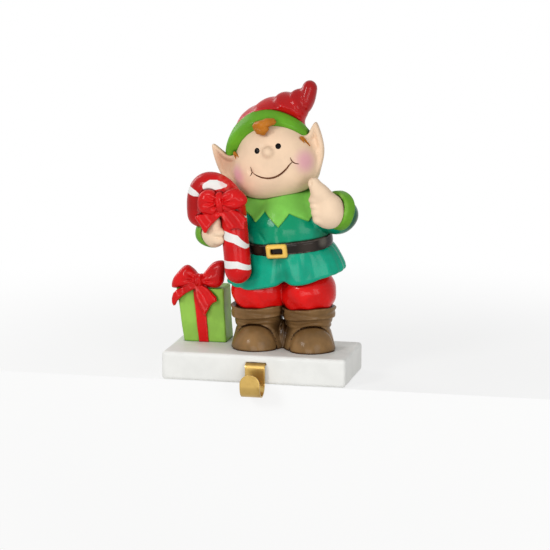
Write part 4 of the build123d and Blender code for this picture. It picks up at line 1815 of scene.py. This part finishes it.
class Tree:
    """A Geometry Nodes tree built in the script, with named inputs."""

    def __init__(self, name: str, **inputs: str) -> None:
        """Starts a tree.

        Args:
            name: The tree's name.
            inputs: Each input's name and socket type.
        """
        self.tree = bpy.data.node_groups.new(name, "GeometryNodeTree")
        self.tree.interface.new_socket("Geometry", in_out="INPUT", socket_type="NodeSocketGeometry")
        self.tree.interface.new_socket("Geometry", in_out="OUTPUT", socket_type="NodeSocketGeometry")
        self.keys = {
            key: self.tree.interface.new_socket(key, in_out="INPUT", socket_type=kind).identifier
            for key, kind in inputs.items()
        }
        self.start = self.tree.nodes.new("NodeGroupInput")

    def node(self, kind: str, settings: dict = {}, inputs: dict = {}) -> bpy.types.Node:
        """Adds a node, sets its properties, then sets or links its inputs.

        Args:
            kind: The node's type.
            settings: Its properties, set first.
            inputs: Values or sockets, by the inputs' names or numbers.

        Returns:
            The node.
        """
        made = self.tree.nodes.new(kind)
        for key, value in settings.items():
            setattr(made, key, value)
        for key, value in inputs.items():
            if isinstance(value, bpy.types.NodeSocket):
                self.tree.links.new(value, made.inputs[key])
            else:
                made.inputs[key].default_value = value
        return made

    def finish(self, shape: bpy.types.NodeSocket) -> None:
        """Realizes the instances, sets the material and closes the tree.

        Args:
            shape: The geometry that the tree gives.
        """
        real = self.node("GeometryNodeRealizeInstances", {}, {0: shape})
        feeds = {"Geometry": real.outputs[0], "Material": self.start.outputs["Material"]}
        dressed = self.node("GeometryNodeSetMaterial", {}, feeds)
        self.node("NodeGroupOutput", {}, {0: dressed.outputs[0]})

    def bake(self, name: str, seed: bpy.types.Mesh, **values: object) -> bpy.types.Object:
        """Runs the tree on a mesh and gives a plain mesh object.

        Args:
            name: The new object's name.
            seed: The mesh that the tree starts from.
            values: The inputs' values.

        Returns:
            The object with the result as its own mesh.
        """
        source = bpy.data.objects.new(name + "_seed", seed)
        bpy.context.scene.collection.objects.link(source)
        modifier = source.modifiers.new("shape", "NODES")
        modifier.node_group = self.tree
        for key, value in values.items():
            modifier[self.keys[key]] = value
        bpy.context.view_layer.update()
        graph = bpy.context.evaluated_depsgraph_get()
        mesh = bpy.data.meshes.new_from_object(source.evaluated_get(graph))
        mesh.name = name
        source.modifiers.clear()
        bpy.data.objects.remove(source)
        piece = bpy.data.objects.new(name, mesh)
        bpy.context.scene.collection.objects.link(piece)
        return piece


@dataclass
class SweptRod:
    """A round rod swept along paths."""

    name: str
    sides: int = 12

    def tree(self) -> Tree:
        """Builds the sweep.

        Returns:
            The tree.
        """
        made = Tree(self.name, Sides="NodeSocketInt", Material="NodeSocketMaterial")
        size = made.node("GeometryNodeInputNamedAttribute", {"data_type": "FLOAT"}, {"Name": "size"})
        line = made.node("GeometryNodeMeshToCurve", {}, {0: made.start.outputs["Geometry"]})
        feeds = {0: line.outputs[0], "Radius": size.outputs[0]}
        thick = made.node("GeometryNodeSetCurveRadius", {}, feeds)
        feeds = {"Resolution": made.start.outputs["Sides"], "Radius": 1.0}
        circle = made.node("GeometryNodeCurvePrimitiveCircle", {}, feeds)
        feeds = {"Curve": thick.outputs[0], "Profile Curve": circle.outputs[0], "Fill Caps": True}
        swept = made.node("GeometryNodeCurveToMesh", {}, feeds)
        if "Scale" in swept.inputs:
            made.tree.links.new(size.outputs[0], swept.inputs["Scale"])
        smooth = made.node("GeometryNodeSetShadeSmooth", {}, {0: swept.outputs[0]})
        made.finish(smooth.outputs[0])
        return made

    def make(self, name: str, paths: Iterable[tuple[Points, np.ndarray]]) -> bpy.types.Object:
        """Sweeps rods along paths.

        Args:
            name: The piece's name.
            paths: Points and radii along each path, in millimetres.

        Returns:
            The piece.
        """
        spots, edges, sizes = [], [], []
        for path, radii in paths:
            first = len(spots)
            spots += [tuple(spot * MM) for spot in path]
            edges += [(first + here, first + here + 1) for here in range(len(path) - 1)]
            sizes += list(radii * MM)
        seed = bpy.data.meshes.new(name + "_path")
        seed.from_pydata(spots, edges, [])
        trait = seed.attributes.new("size", "FLOAT", "POINT")
        trait.data.foreach_set("value", np.asarray(sizes, np.float32))
        return self.tree().bake(name, seed, Sides=self.sides)


@dataclass
class FaceMarks:
    """What is painted on the face: two eye dots and the line of the smile, with a tick at each end.

    Attributes:
        head: The head that the marks lie on.
        before: How far before the face the search for its surface starts.
        strides: Strides of that search.
        stride: The share of the distance that each stride goes.
    """

    head: Head
    eyes: Outline = ((-5.8, 7.6), (7.9, 7.6))
    eye_size: Size = (3.5, 3.8, 0.8)
    smile: Outline = (
        (-12.0, -4.8), (-10.2, -6.8), (-7.2, -8.8), (-4.1, -10.1), (-0.9, -10.8), (2.5, -10.6),
        (5.7, -9.6), (8.4, -8.2), (10.9, -6.4), (12.4, -4.8), (14.1, -4.0),
    )
    smile_width: float = 1.2
    tick_width: float = 0.75
    before: float = -40.0
    strides: int = 60
    stride: float = 0.8
    ticks: tuple[Outline, ...] = (
        ((-12.2, -1.2), (-12.3, -3.0), (-12.0, -4.8), (-13.0, -6.1), (-14.4, -7.0)),
        ((13.6, -0.8), (13.7, -2.6), (14.1, -4.0), (15.6, -5.4), (17.6, -6.3)),
    )

    def on_face(self, x: float, z: float) -> np.ndarray:
        """Finds the point of the face's surface straight behind a place on it.

        Args:
            x: Place across the face.
            z: Place up the face.

        Returns:
            The point in millimetres.
        """
        spot = FACE.spot(x, self.before, z)
        for _ in range(self.strides):
            spot = spot + FACE.axes[:, 1] * self.head.distance(spot[None])[0] * self.stride
        return spot

    def stroke(self, stops: Sequence[Pair], width: float, share: int) -> tuple[Points, np.ndarray]:
        """Gives a smooth brush stroke on the face, with its radius at each point.

        Args:
            stops: Places along it, across and up the face.
            width: Its greatest width.
            share: Points from one stop to the next.

        Returns:
            The points and the radii.
        """
        spots = np.array(stops, float)
        grid = np.linspace(0, len(spots) - 1, share * (len(spots) - 1) + 1)
        here = np.arange(len(spots))
        line = np.stack([np.interp(grid, here, spots[:, i]) for i in range(2)], 1)
        for _ in range(3 * share):
            line[1:-1] = 0.5 * line[1:-1] + 0.25 * (line[:-2] + line[2:])
        path = np.array([self.on_face(x, z) for x, z in line])
        swell = np.sqrt(np.clip(np.sin(np.linspace(0.06, math.pi - 0.06, len(path))), 0, 1))
        return path, width / 2 * swell

    def smile_piece(self) -> bpy.types.Object:
        """Paints the smile as a fine rod half sunk in the face.

        Returns:
            The piece.
        """
        strokes = [self.stroke(self.smile, self.smile_width, 6)]
        strokes += [self.stroke(tick, self.tick_width, 5) for tick in self.ticks]
        return SweptRod("swept_smile", sides=10).make("smile", strokes)

    def eye_piece(self) -> bpy.types.Object:
        """Sets a flat dome at each eye with Geometry Nodes.

        Returns:
            The piece.
        """
        made = Tree("eye_dots", Size="NodeSocketVector", Material="NodeSocketMaterial")
        dome = made.node("GeometryNodeMeshUVSphere", {}, {"Segments": 48, "Rings": 24, "Radius": 0.5})
        feeds = {"Geometry": dome.outputs[0], "Scale": made.start.outputs["Size"]}
        flat = made.node("GeometryNodeTransform", {}, feeds)
        kind = {"data_type": "FLOAT_VECTOR"}
        facing = made.node("GeometryNodeInputNamedAttribute", kind, {"Name": "facing"})
        feeds = {"Vector": facing.outputs[0]}
        turn = made.node("FunctionNodeAlignRotationToVector", {"axis": "Z"}, feeds)
        feeds = {"Instance": flat.outputs[0], "Rotation": turn.outputs[0]}
        feeds["Points"] = made.start.outputs["Geometry"]
        set_out = made.node("GeometryNodeInstanceOnPoints", {}, feeds)
        smooth = made.node("GeometryNodeSetShadeSmooth", {}, {0: set_out.outputs[0]})
        made.finish(smooth.outputs[0])
        spots = np.array([self.on_face(x, z) for x, z in self.eyes])
        outward = slope(self.head.distance, spots)
        seed = bpy.data.meshes.new("eye_spots")
        seed.from_pydata([tuple(spot * MM) for spot in spots], [], [])
        trait = seed.attributes.new("facing", "FLOAT_VECTOR", "POINT")
        trait.data.foreach_set("vector", outward.ravel())
        return made.bake("eyes", seed, Size=tuple(part * MM for part in self.eye_size))


# ---------------------------------------------------------------- the hook


@dataclass
class Hook:
    """The brass strip: a tang in the block, a bend, a leg, a round turn and an arched tongue.

    Attributes:
        middle: The strip's middle across the block.
        level: The tang's level.
        front: The block's front face.
        bend: The bend's radius, from the tang to the leg.
        leg: Where the leg hangs, in front of the block.
        turn: The round turn's radius.
        arch: The share of half the width over which the tongue is arched.
        edge: The width of the softened edges.
        columns: Vertices across the strip.
    """

    width: float = 12.7
    thickness: float = 1.0
    middle: float = 2.0
    level: float = 13.0
    front: float = -27.5
    tang: float = 23.0
    bend: float = 2.5
    leg: float = -30.0
    turn: float = 7.25
    bottom: float = -6.0
    tip: float = 9.5
    arch: float = 0.98
    edge: float = 0.22
    columns: int = 15

    def path(self) -> np.ndarray:
        """Gives the strip's middle line from its tang to its tip, backwards and upwards.

        Returns:
            The points' backward and upward coordinates.
        """
        low = self.bottom + self.thickness / 2 + self.turn
        steps = np.linspace(0, self.tang - 0.5, 12)
        stops = [(self.front + self.tang - step, self.level) for step in steps]
        y, z = self.leg + self.bend, self.level - self.bend
        quarter, half = np.linspace(0, math.pi / 2, 14), np.linspace(0, math.pi, 40)[1:]
        stops += [(y - self.bend * math.sin(a), z + self.bend * math.cos(a)) for a in quarter]
        stops += [(self.leg, z) for z in np.linspace(self.level - self.bend, low, 8)[1:]]
        centre = self.leg - self.turn
        stops += [(centre + self.turn * math.cos(a), low - self.turn * math.sin(a)) for a in half]
        stops += [(self.leg - 2 * self.turn, z) for z in np.linspace(low, self.tip, 26)[1:]]
        return np.array(stops)

    def build(self) -> bpy.types.Object:
        """Bends a flat blank with an arched end along the path, and gives it thickness and soft edges.

        Returns:
            The piece.
        """
        path = self.path()
        along = np.r_[0, np.cumsum(np.linalg.norm(np.diff(path, axis=0), axis=1))]
        arch = self.width / 2 * self.arch
        half = np.full(len(along), self.width / 2)
        left = along[-1] - along
        near = left < arch
        half[near] = self.width / 2 - arch + np.sqrt(np.maximum(arch**2 - (arch - left[near]) ** 2, 0.09))
        count = self.columns
        across = np.linspace(-1, 1, count)
        spots = [(self.middle + h * a, y, z) for (y, z), h in zip(path, half) for a in across]
        faces = [
            (r * count + c, r * count + c + 1, (r + 1) * count + c + 1, (r + 1) * count + c)
            for r in range(len(path) - 1)
            for c in range(count - 1)
        ]
        piece = mesh_of("hook_strip", np.array(spots), np.array(faces))
        wall = piece.modifiers.new("thickness", "SOLIDIFY")
        wall.thickness, wall.offset, wall.use_even_offset = self.thickness * MM, 0, True
        soft = piece.modifiers.new("edges", "BEVEL")
        soft.width, soft.segments = self.edge * MM, 3
        soft.limit_method, soft.angle_limit = "ANGLE", math.radians(50)
        graph = bpy.context.evaluated_depsgraph_get()
        mesh = bpy.data.meshes.new_from_object(piece.evaluated_get(graph))
        piece.modifiers.clear()
        piece.data = mesh
        mesh.name = "hook_strip"
        mesh.shade_smooth()
        return piece


# ---------------------------------------------------------------- the casting


# How far out hollows are felt, with each reach's share, and how far in high edges are.
HOLLOWS = ((0.9, 0.4), (2.2, 0.35), (4.5, 0.25))
CRESTS = (0.8, 1.6)


class Casting:
    """All painted areas of the one casting, dressed and registered together."""

    def __init__(self) -> None:
        """Lists the painted areas."""
        self.head = Head()
        self.areas: list[Sculpted] = [
            Block(), Boots(), Trousers(), Tunic(), Collar(), Belt(), Buckle(), self.head, Band(), Hat(),
            Hair(), Cuffs(), RaisedHand(), LoweredHand(), Cane(), Bow(), Gift(), GiftRibbon(), gift_bow(),
        ]

    def nearest(self, p: Points) -> Points:
        """Gives the distance from points to the nearest painted area.

        Args:
            p: Points in millimetres.

        Returns:
            The signed distances, negative inside.
        """
        found = np.full(len(p), FAR)
        for area in self.areas:
            found = np.minimum(found, area.near(p))
        return found

    def measure_hollows_and_crests(self, piece: bpy.types.Object) -> None:
        """Writes how hollow and how raised the casting is at each vertex of a piece.

        Args:
            piece: The piece.
        """
        mesh = piece.data
        count = len(mesh.vertices)
        spots, facing = np.zeros(count * 3, np.float32), np.zeros(count * 3, np.float32)
        mesh.vertices.foreach_get("co", spots)
        mesh.vertex_normals.foreach_get("vector", facing)
        spots, facing = spots.reshape(-1, 3).astype(float) / MM, facing.reshape(-1, 3).astype(float)
        hollow, crest = np.zeros(count), np.zeros(count)
        # The hollow value, found from all painted areas together, drives the wash and the painted shade
        # in creases and where parts meet.
        for reach, share in HOLLOWS:
            hollow += share * np.clip(1 - self.nearest(spots + facing * reach) / reach, 0, 1.2)
        # The crest value drives the worn edges and the painted highlights on them.
        for reach in CRESTS:
            crest += np.clip(1 + self.nearest(spots - facing * reach) / reach, 0, 1)
        for key, values in (("hollow", hollow), ("crest", crest)):
            trait = mesh.attributes.new(key, "FLOAT", "POINT")
            trait.data.foreach_set("value", np.clip(values, 0, 1).astype(np.float32))

    def dress(self, piece: bpy.types.Object, finish: Paint) -> None:
        """Measures a piece's hollows and edges, then paints it, with painted shade in the hollows, and
        registers it.

        Args:
            piece: The piece.
            finish: Its paint.
        """
        self.measure_hollows_and_crests(piece)
        piece.data.materials.clear()
        piece.data.materials.append(finish.material())
        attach(piece, "root")
        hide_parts("figure_casting")
        log.info("%s: %d faces", piece.name, len(piece.data.polygons))

    def build(self) -> None:
        """Builds and dresses every painted area and the marks on the face."""
        for area in self.areas:
            self.dress(area.build(), area.finish)
        marks = FaceMarks(self.head)
        self.dress(marks.smile_piece(), MOUTH_BROWN)
        self.dress(marks.eye_piece(), EYE_BLACK)


def gift_bow() -> Bow:
    """Gives the bow on the gift, with its own loops and tails.

    Returns:
        The bow.
    """
    bow = Bow(
        reach=GIFT_BOW.around((27, 9, 27), (27, 9, 20.25)),
        place=GIFT_BOW,
        loops=(
            ((-9, 10.6), (-3.6, 6.2), (-0.8, 3), (-1.6, -3), (-10, -5), (-18.4, -6.6), (-18.8, -2.5),
             (-16.2, 3)),
            ((0.8, 3), (3.6, 5), (5.6, 8.4), (9.6, 12.6), (17, 13.4), (16.6, 5), (14.8, -4), (5.6, -5.4),
             (1, -3)),
        ),
        puff=(0.5, 5.0, 5.0),
        tails=(
            ((-3, 0), (-8, -3.5), (-16.5, -7), (-18.6, -14), (-16.4, -18.4), (-13.5, -12.5), (-7, -7.5),
             (1, -4)),
            ((-2, -2), (3.5, -3), (6.4, -5), (13.2, -12), (8, -15.2), (6.4, -18), (3.6, -24), (1, -16.5),
             (-2.6, -7)),
        ),
        knot=(10.0, 8.5, 9.0),
        tail_front=3.6,
    )
    bow.name = "gift_bow"
    return bow


# ---------------------------------------------------------------- the studio


# The film's width in millimetres, and the picture's width and focal length in its pixels.
FILM = 36
PICTURE, FOCUS = 550, 2800


@dataclass(frozen=True)
class Studio:
    """The pale ledge, the soft lamps and the camera.

    Attributes:
        azimuth: The camera's angle to the right of the front, in degrees.
        elevation: The camera's angle above the level, in degrees.
        distance: From the camera to its target, in millimetres.
        target: What the camera looks at, in millimetres.
        lens: Focal length for the film.
        clip: The nearest and the farthest distance that is seen, in metres.
        aim: What the lamps face, in millimetres.
        lamps: Name, place, size and power of each lamp.
        sky: How bright the sky is as light, and to the camera.
        wide: How far the ledge runs to the sides and back, in millimetres.
        front: Where the ledge's front edge lies.
        drop: The level of its front face's lower edge.
        fade: Between which distances, in metres, the ledge turns white.
    """

    azimuth: float = 12.770
    elevation: float = 11.083
    distance: float = 1766.27
    target: Spot = (8.078, 0, 64.630)
    lens: float = FOCUS / PICTURE * FILM
    clip: Pair = (0.05, 20)
    aim: Spot = (8, 0, 90)
    lamps: tuple[tuple[str, Spot, Pair, float], ...] = (
        ("key_left", (-420, -700, 460), (240, 240), 2.7),
        ("fill_right", (560, -600, 230), (360, 520), 1.9),
        ("fill_low", (60, -900, 60), (520, 260), 1.6),
        ("rim_left", (-520, 300, 420), (220, 420), 1.2),
    )
    sky: Pair = (0.45, 1.0)
    wide: float = 1600
    front: float = -27.9
    drop: float = -900
    fade: Pair = (0.12, 0.42)

    def pale(self, name: str, colour: Colour, plain: float) -> bpy.types.Material:
        """Makes a matt pale finish that also shows white to the camera and in reflections.

        Args:
            name: The material's name.
            colour: The matt colour, which takes the shadows.
            plain: The share of plain white.

        Returns:
            The material.
        """
        board = Board(name)
        board.close(Base_Color=colour, Roughness=0.8)
        seen = board.node("ShaderNodeLightPath", {}, {}, "Is Camera Ray")
        shine, through = (
            Wire(board, seen.socket.node.outputs[f"Is {kind} Ray"]) for kind in ("Glossy", "Transmission")
        )
        clear = plain + board.measure("LENGTH").step(*self.fade) * (1 - plain)
        share = seen.sum("MINIMUM", seen + shine + through, 1.0) * clear
        white = board.node("ShaderNodeEmission", {}, {"Color": (1, 1, 1), "Strength": 1.0})
        feeds = {0: share, 1: Wire(board, board.shader.outputs[0]), 2: white}
        mixed = board.node("ShaderNodeMixShader", {}, feeds)
        board.tree.links.new(mixed.socket, board.tree.nodes["Material Output"].inputs["Surface"])
        return board.material

    def ledge(self) -> None:
        """Lays the ledge that the block stands on, with its front edge under the block's front."""
        rows = ((self.wide, 0), (self.front, 0), (self.front, self.drop))
        spots = [(x * MM, y * MM, z * MM) for y, z in rows for x in (-self.wide, self.wide)]
        mesh = bpy.data.meshes.new("ledge")
        mesh.from_pydata(spots, [], [(0, 2, 3, 1), (2, 4, 5, 3)])
        piece = bpy.data.objects.new("ledge", mesh)
        bpy.context.scene.collection.objects.link(piece)
        mesh.materials.append(self.pale("ledge_pale", (0.82, 0.82, 0.81), 0.72))

    def lamp(self, name: str, spot: Spot, size: Pair, power: float) -> None:
        """Hangs a soft lamp that faces the figure.

        Args:
            name: The lamp's name.
            spot: Its place in millimetres.
            size: Its width and height.
            power: Its power in watts.
        """
        data = bpy.data.lights.new(name, "AREA")
        data.shape, data.size, data.size_y = "RECTANGLE", size[0] * MM, size[1] * MM
        data.energy = power
        piece = bpy.data.objects.new(name, data)
        piece.location = Vector(spot) * MM
        piece.rotation_euler = (Vector(self.aim) - Vector(spot)).to_track_quat("-Z", "Y").to_euler()
        bpy.context.scene.collection.objects.link(piece)

    def lights(self) -> None:
        """Sets the even sky and the lamps."""
        world = bpy.data.worlds.new("white_room")
        world.use_nodes = True
        bpy.context.scene.world = world
        tree = world.node_tree
        tree.nodes.clear()
        rays = tree.nodes.new("ShaderNodeLightPath")
        shown = rays.outputs["Is Camera Ray"]
        for kind in ("Transmission", "Glossy"):
            either = tree.nodes.new("ShaderNodeMath")
            either.operation = "MAXIMUM"
            tree.links.new(shown, either.inputs[0])
            tree.links.new(rays.outputs[f"Is {kind} Ray"], either.inputs[1])
            shown = either.outputs[0]
        strength = tree.nodes.new("ShaderNodeMapRange")
        tree.links.new(shown, strength.inputs["Value"])
        strength.inputs["To Min"].default_value, strength.inputs["To Max"].default_value = self.sky
        sky = tree.nodes.new("ShaderNodeBackground")
        sky.inputs["Color"].default_value = (1, 1, 1, 1)
        tree.links.new(strength.outputs[0], sky.inputs["Strength"])
        out = tree.nodes.new("ShaderNodeOutputWorld")
        tree.links.new(sky.outputs[0], out.inputs["Surface"])
        for lamp in self.lamps:
            self.lamp(*lamp)

    def camera(self) -> None:
        """Puts the camera at the photograph's angle."""
        a, e = math.radians(self.azimuth), math.radians(self.elevation)
        back = Vector((math.sin(a) * math.cos(e), -math.cos(a) * math.cos(e), math.sin(e)))
        right = Vector((math.cos(a), math.sin(a), 0))
        up = back.cross(right)
        data = bpy.data.cameras.new("camera")
        data.lens, data.sensor_width = self.lens, FILM
        data.clip_start, data.clip_end = self.clip
        piece = bpy.data.objects.new("camera", data)
        spot = (Vector(self.target) + back * self.distance) * MM
        piece.matrix_world = Matrix.Translation(spot) @ Matrix((right, up, back)).transposed().to_4x4()
        bpy.context.scene.collection.objects.link(piece)
        bpy.context.scene.camera = piece

    def build(self) -> None:
        """Sets up the ledge, the lamps, the camera and the view."""
        self.ledge()
        self.lights()
        self.camera()
        bpy.context.scene.view_settings.view_transform = "Standard"


def main() -> None:
    """Builds the holder and its studio."""
    logging.basicConfig(level=logging.INFO, format="%(asctime)s %(message)s")
    Casting().build()
    strip = Hook().build()
    strip.data.materials.append(Brass().material())
    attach(strip, "root")
    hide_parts("hook")
    log.info("%s: %d faces", strip.name, len(strip.data.polygons))
    Studio().build()


if __name__ == "__main__":
    main()
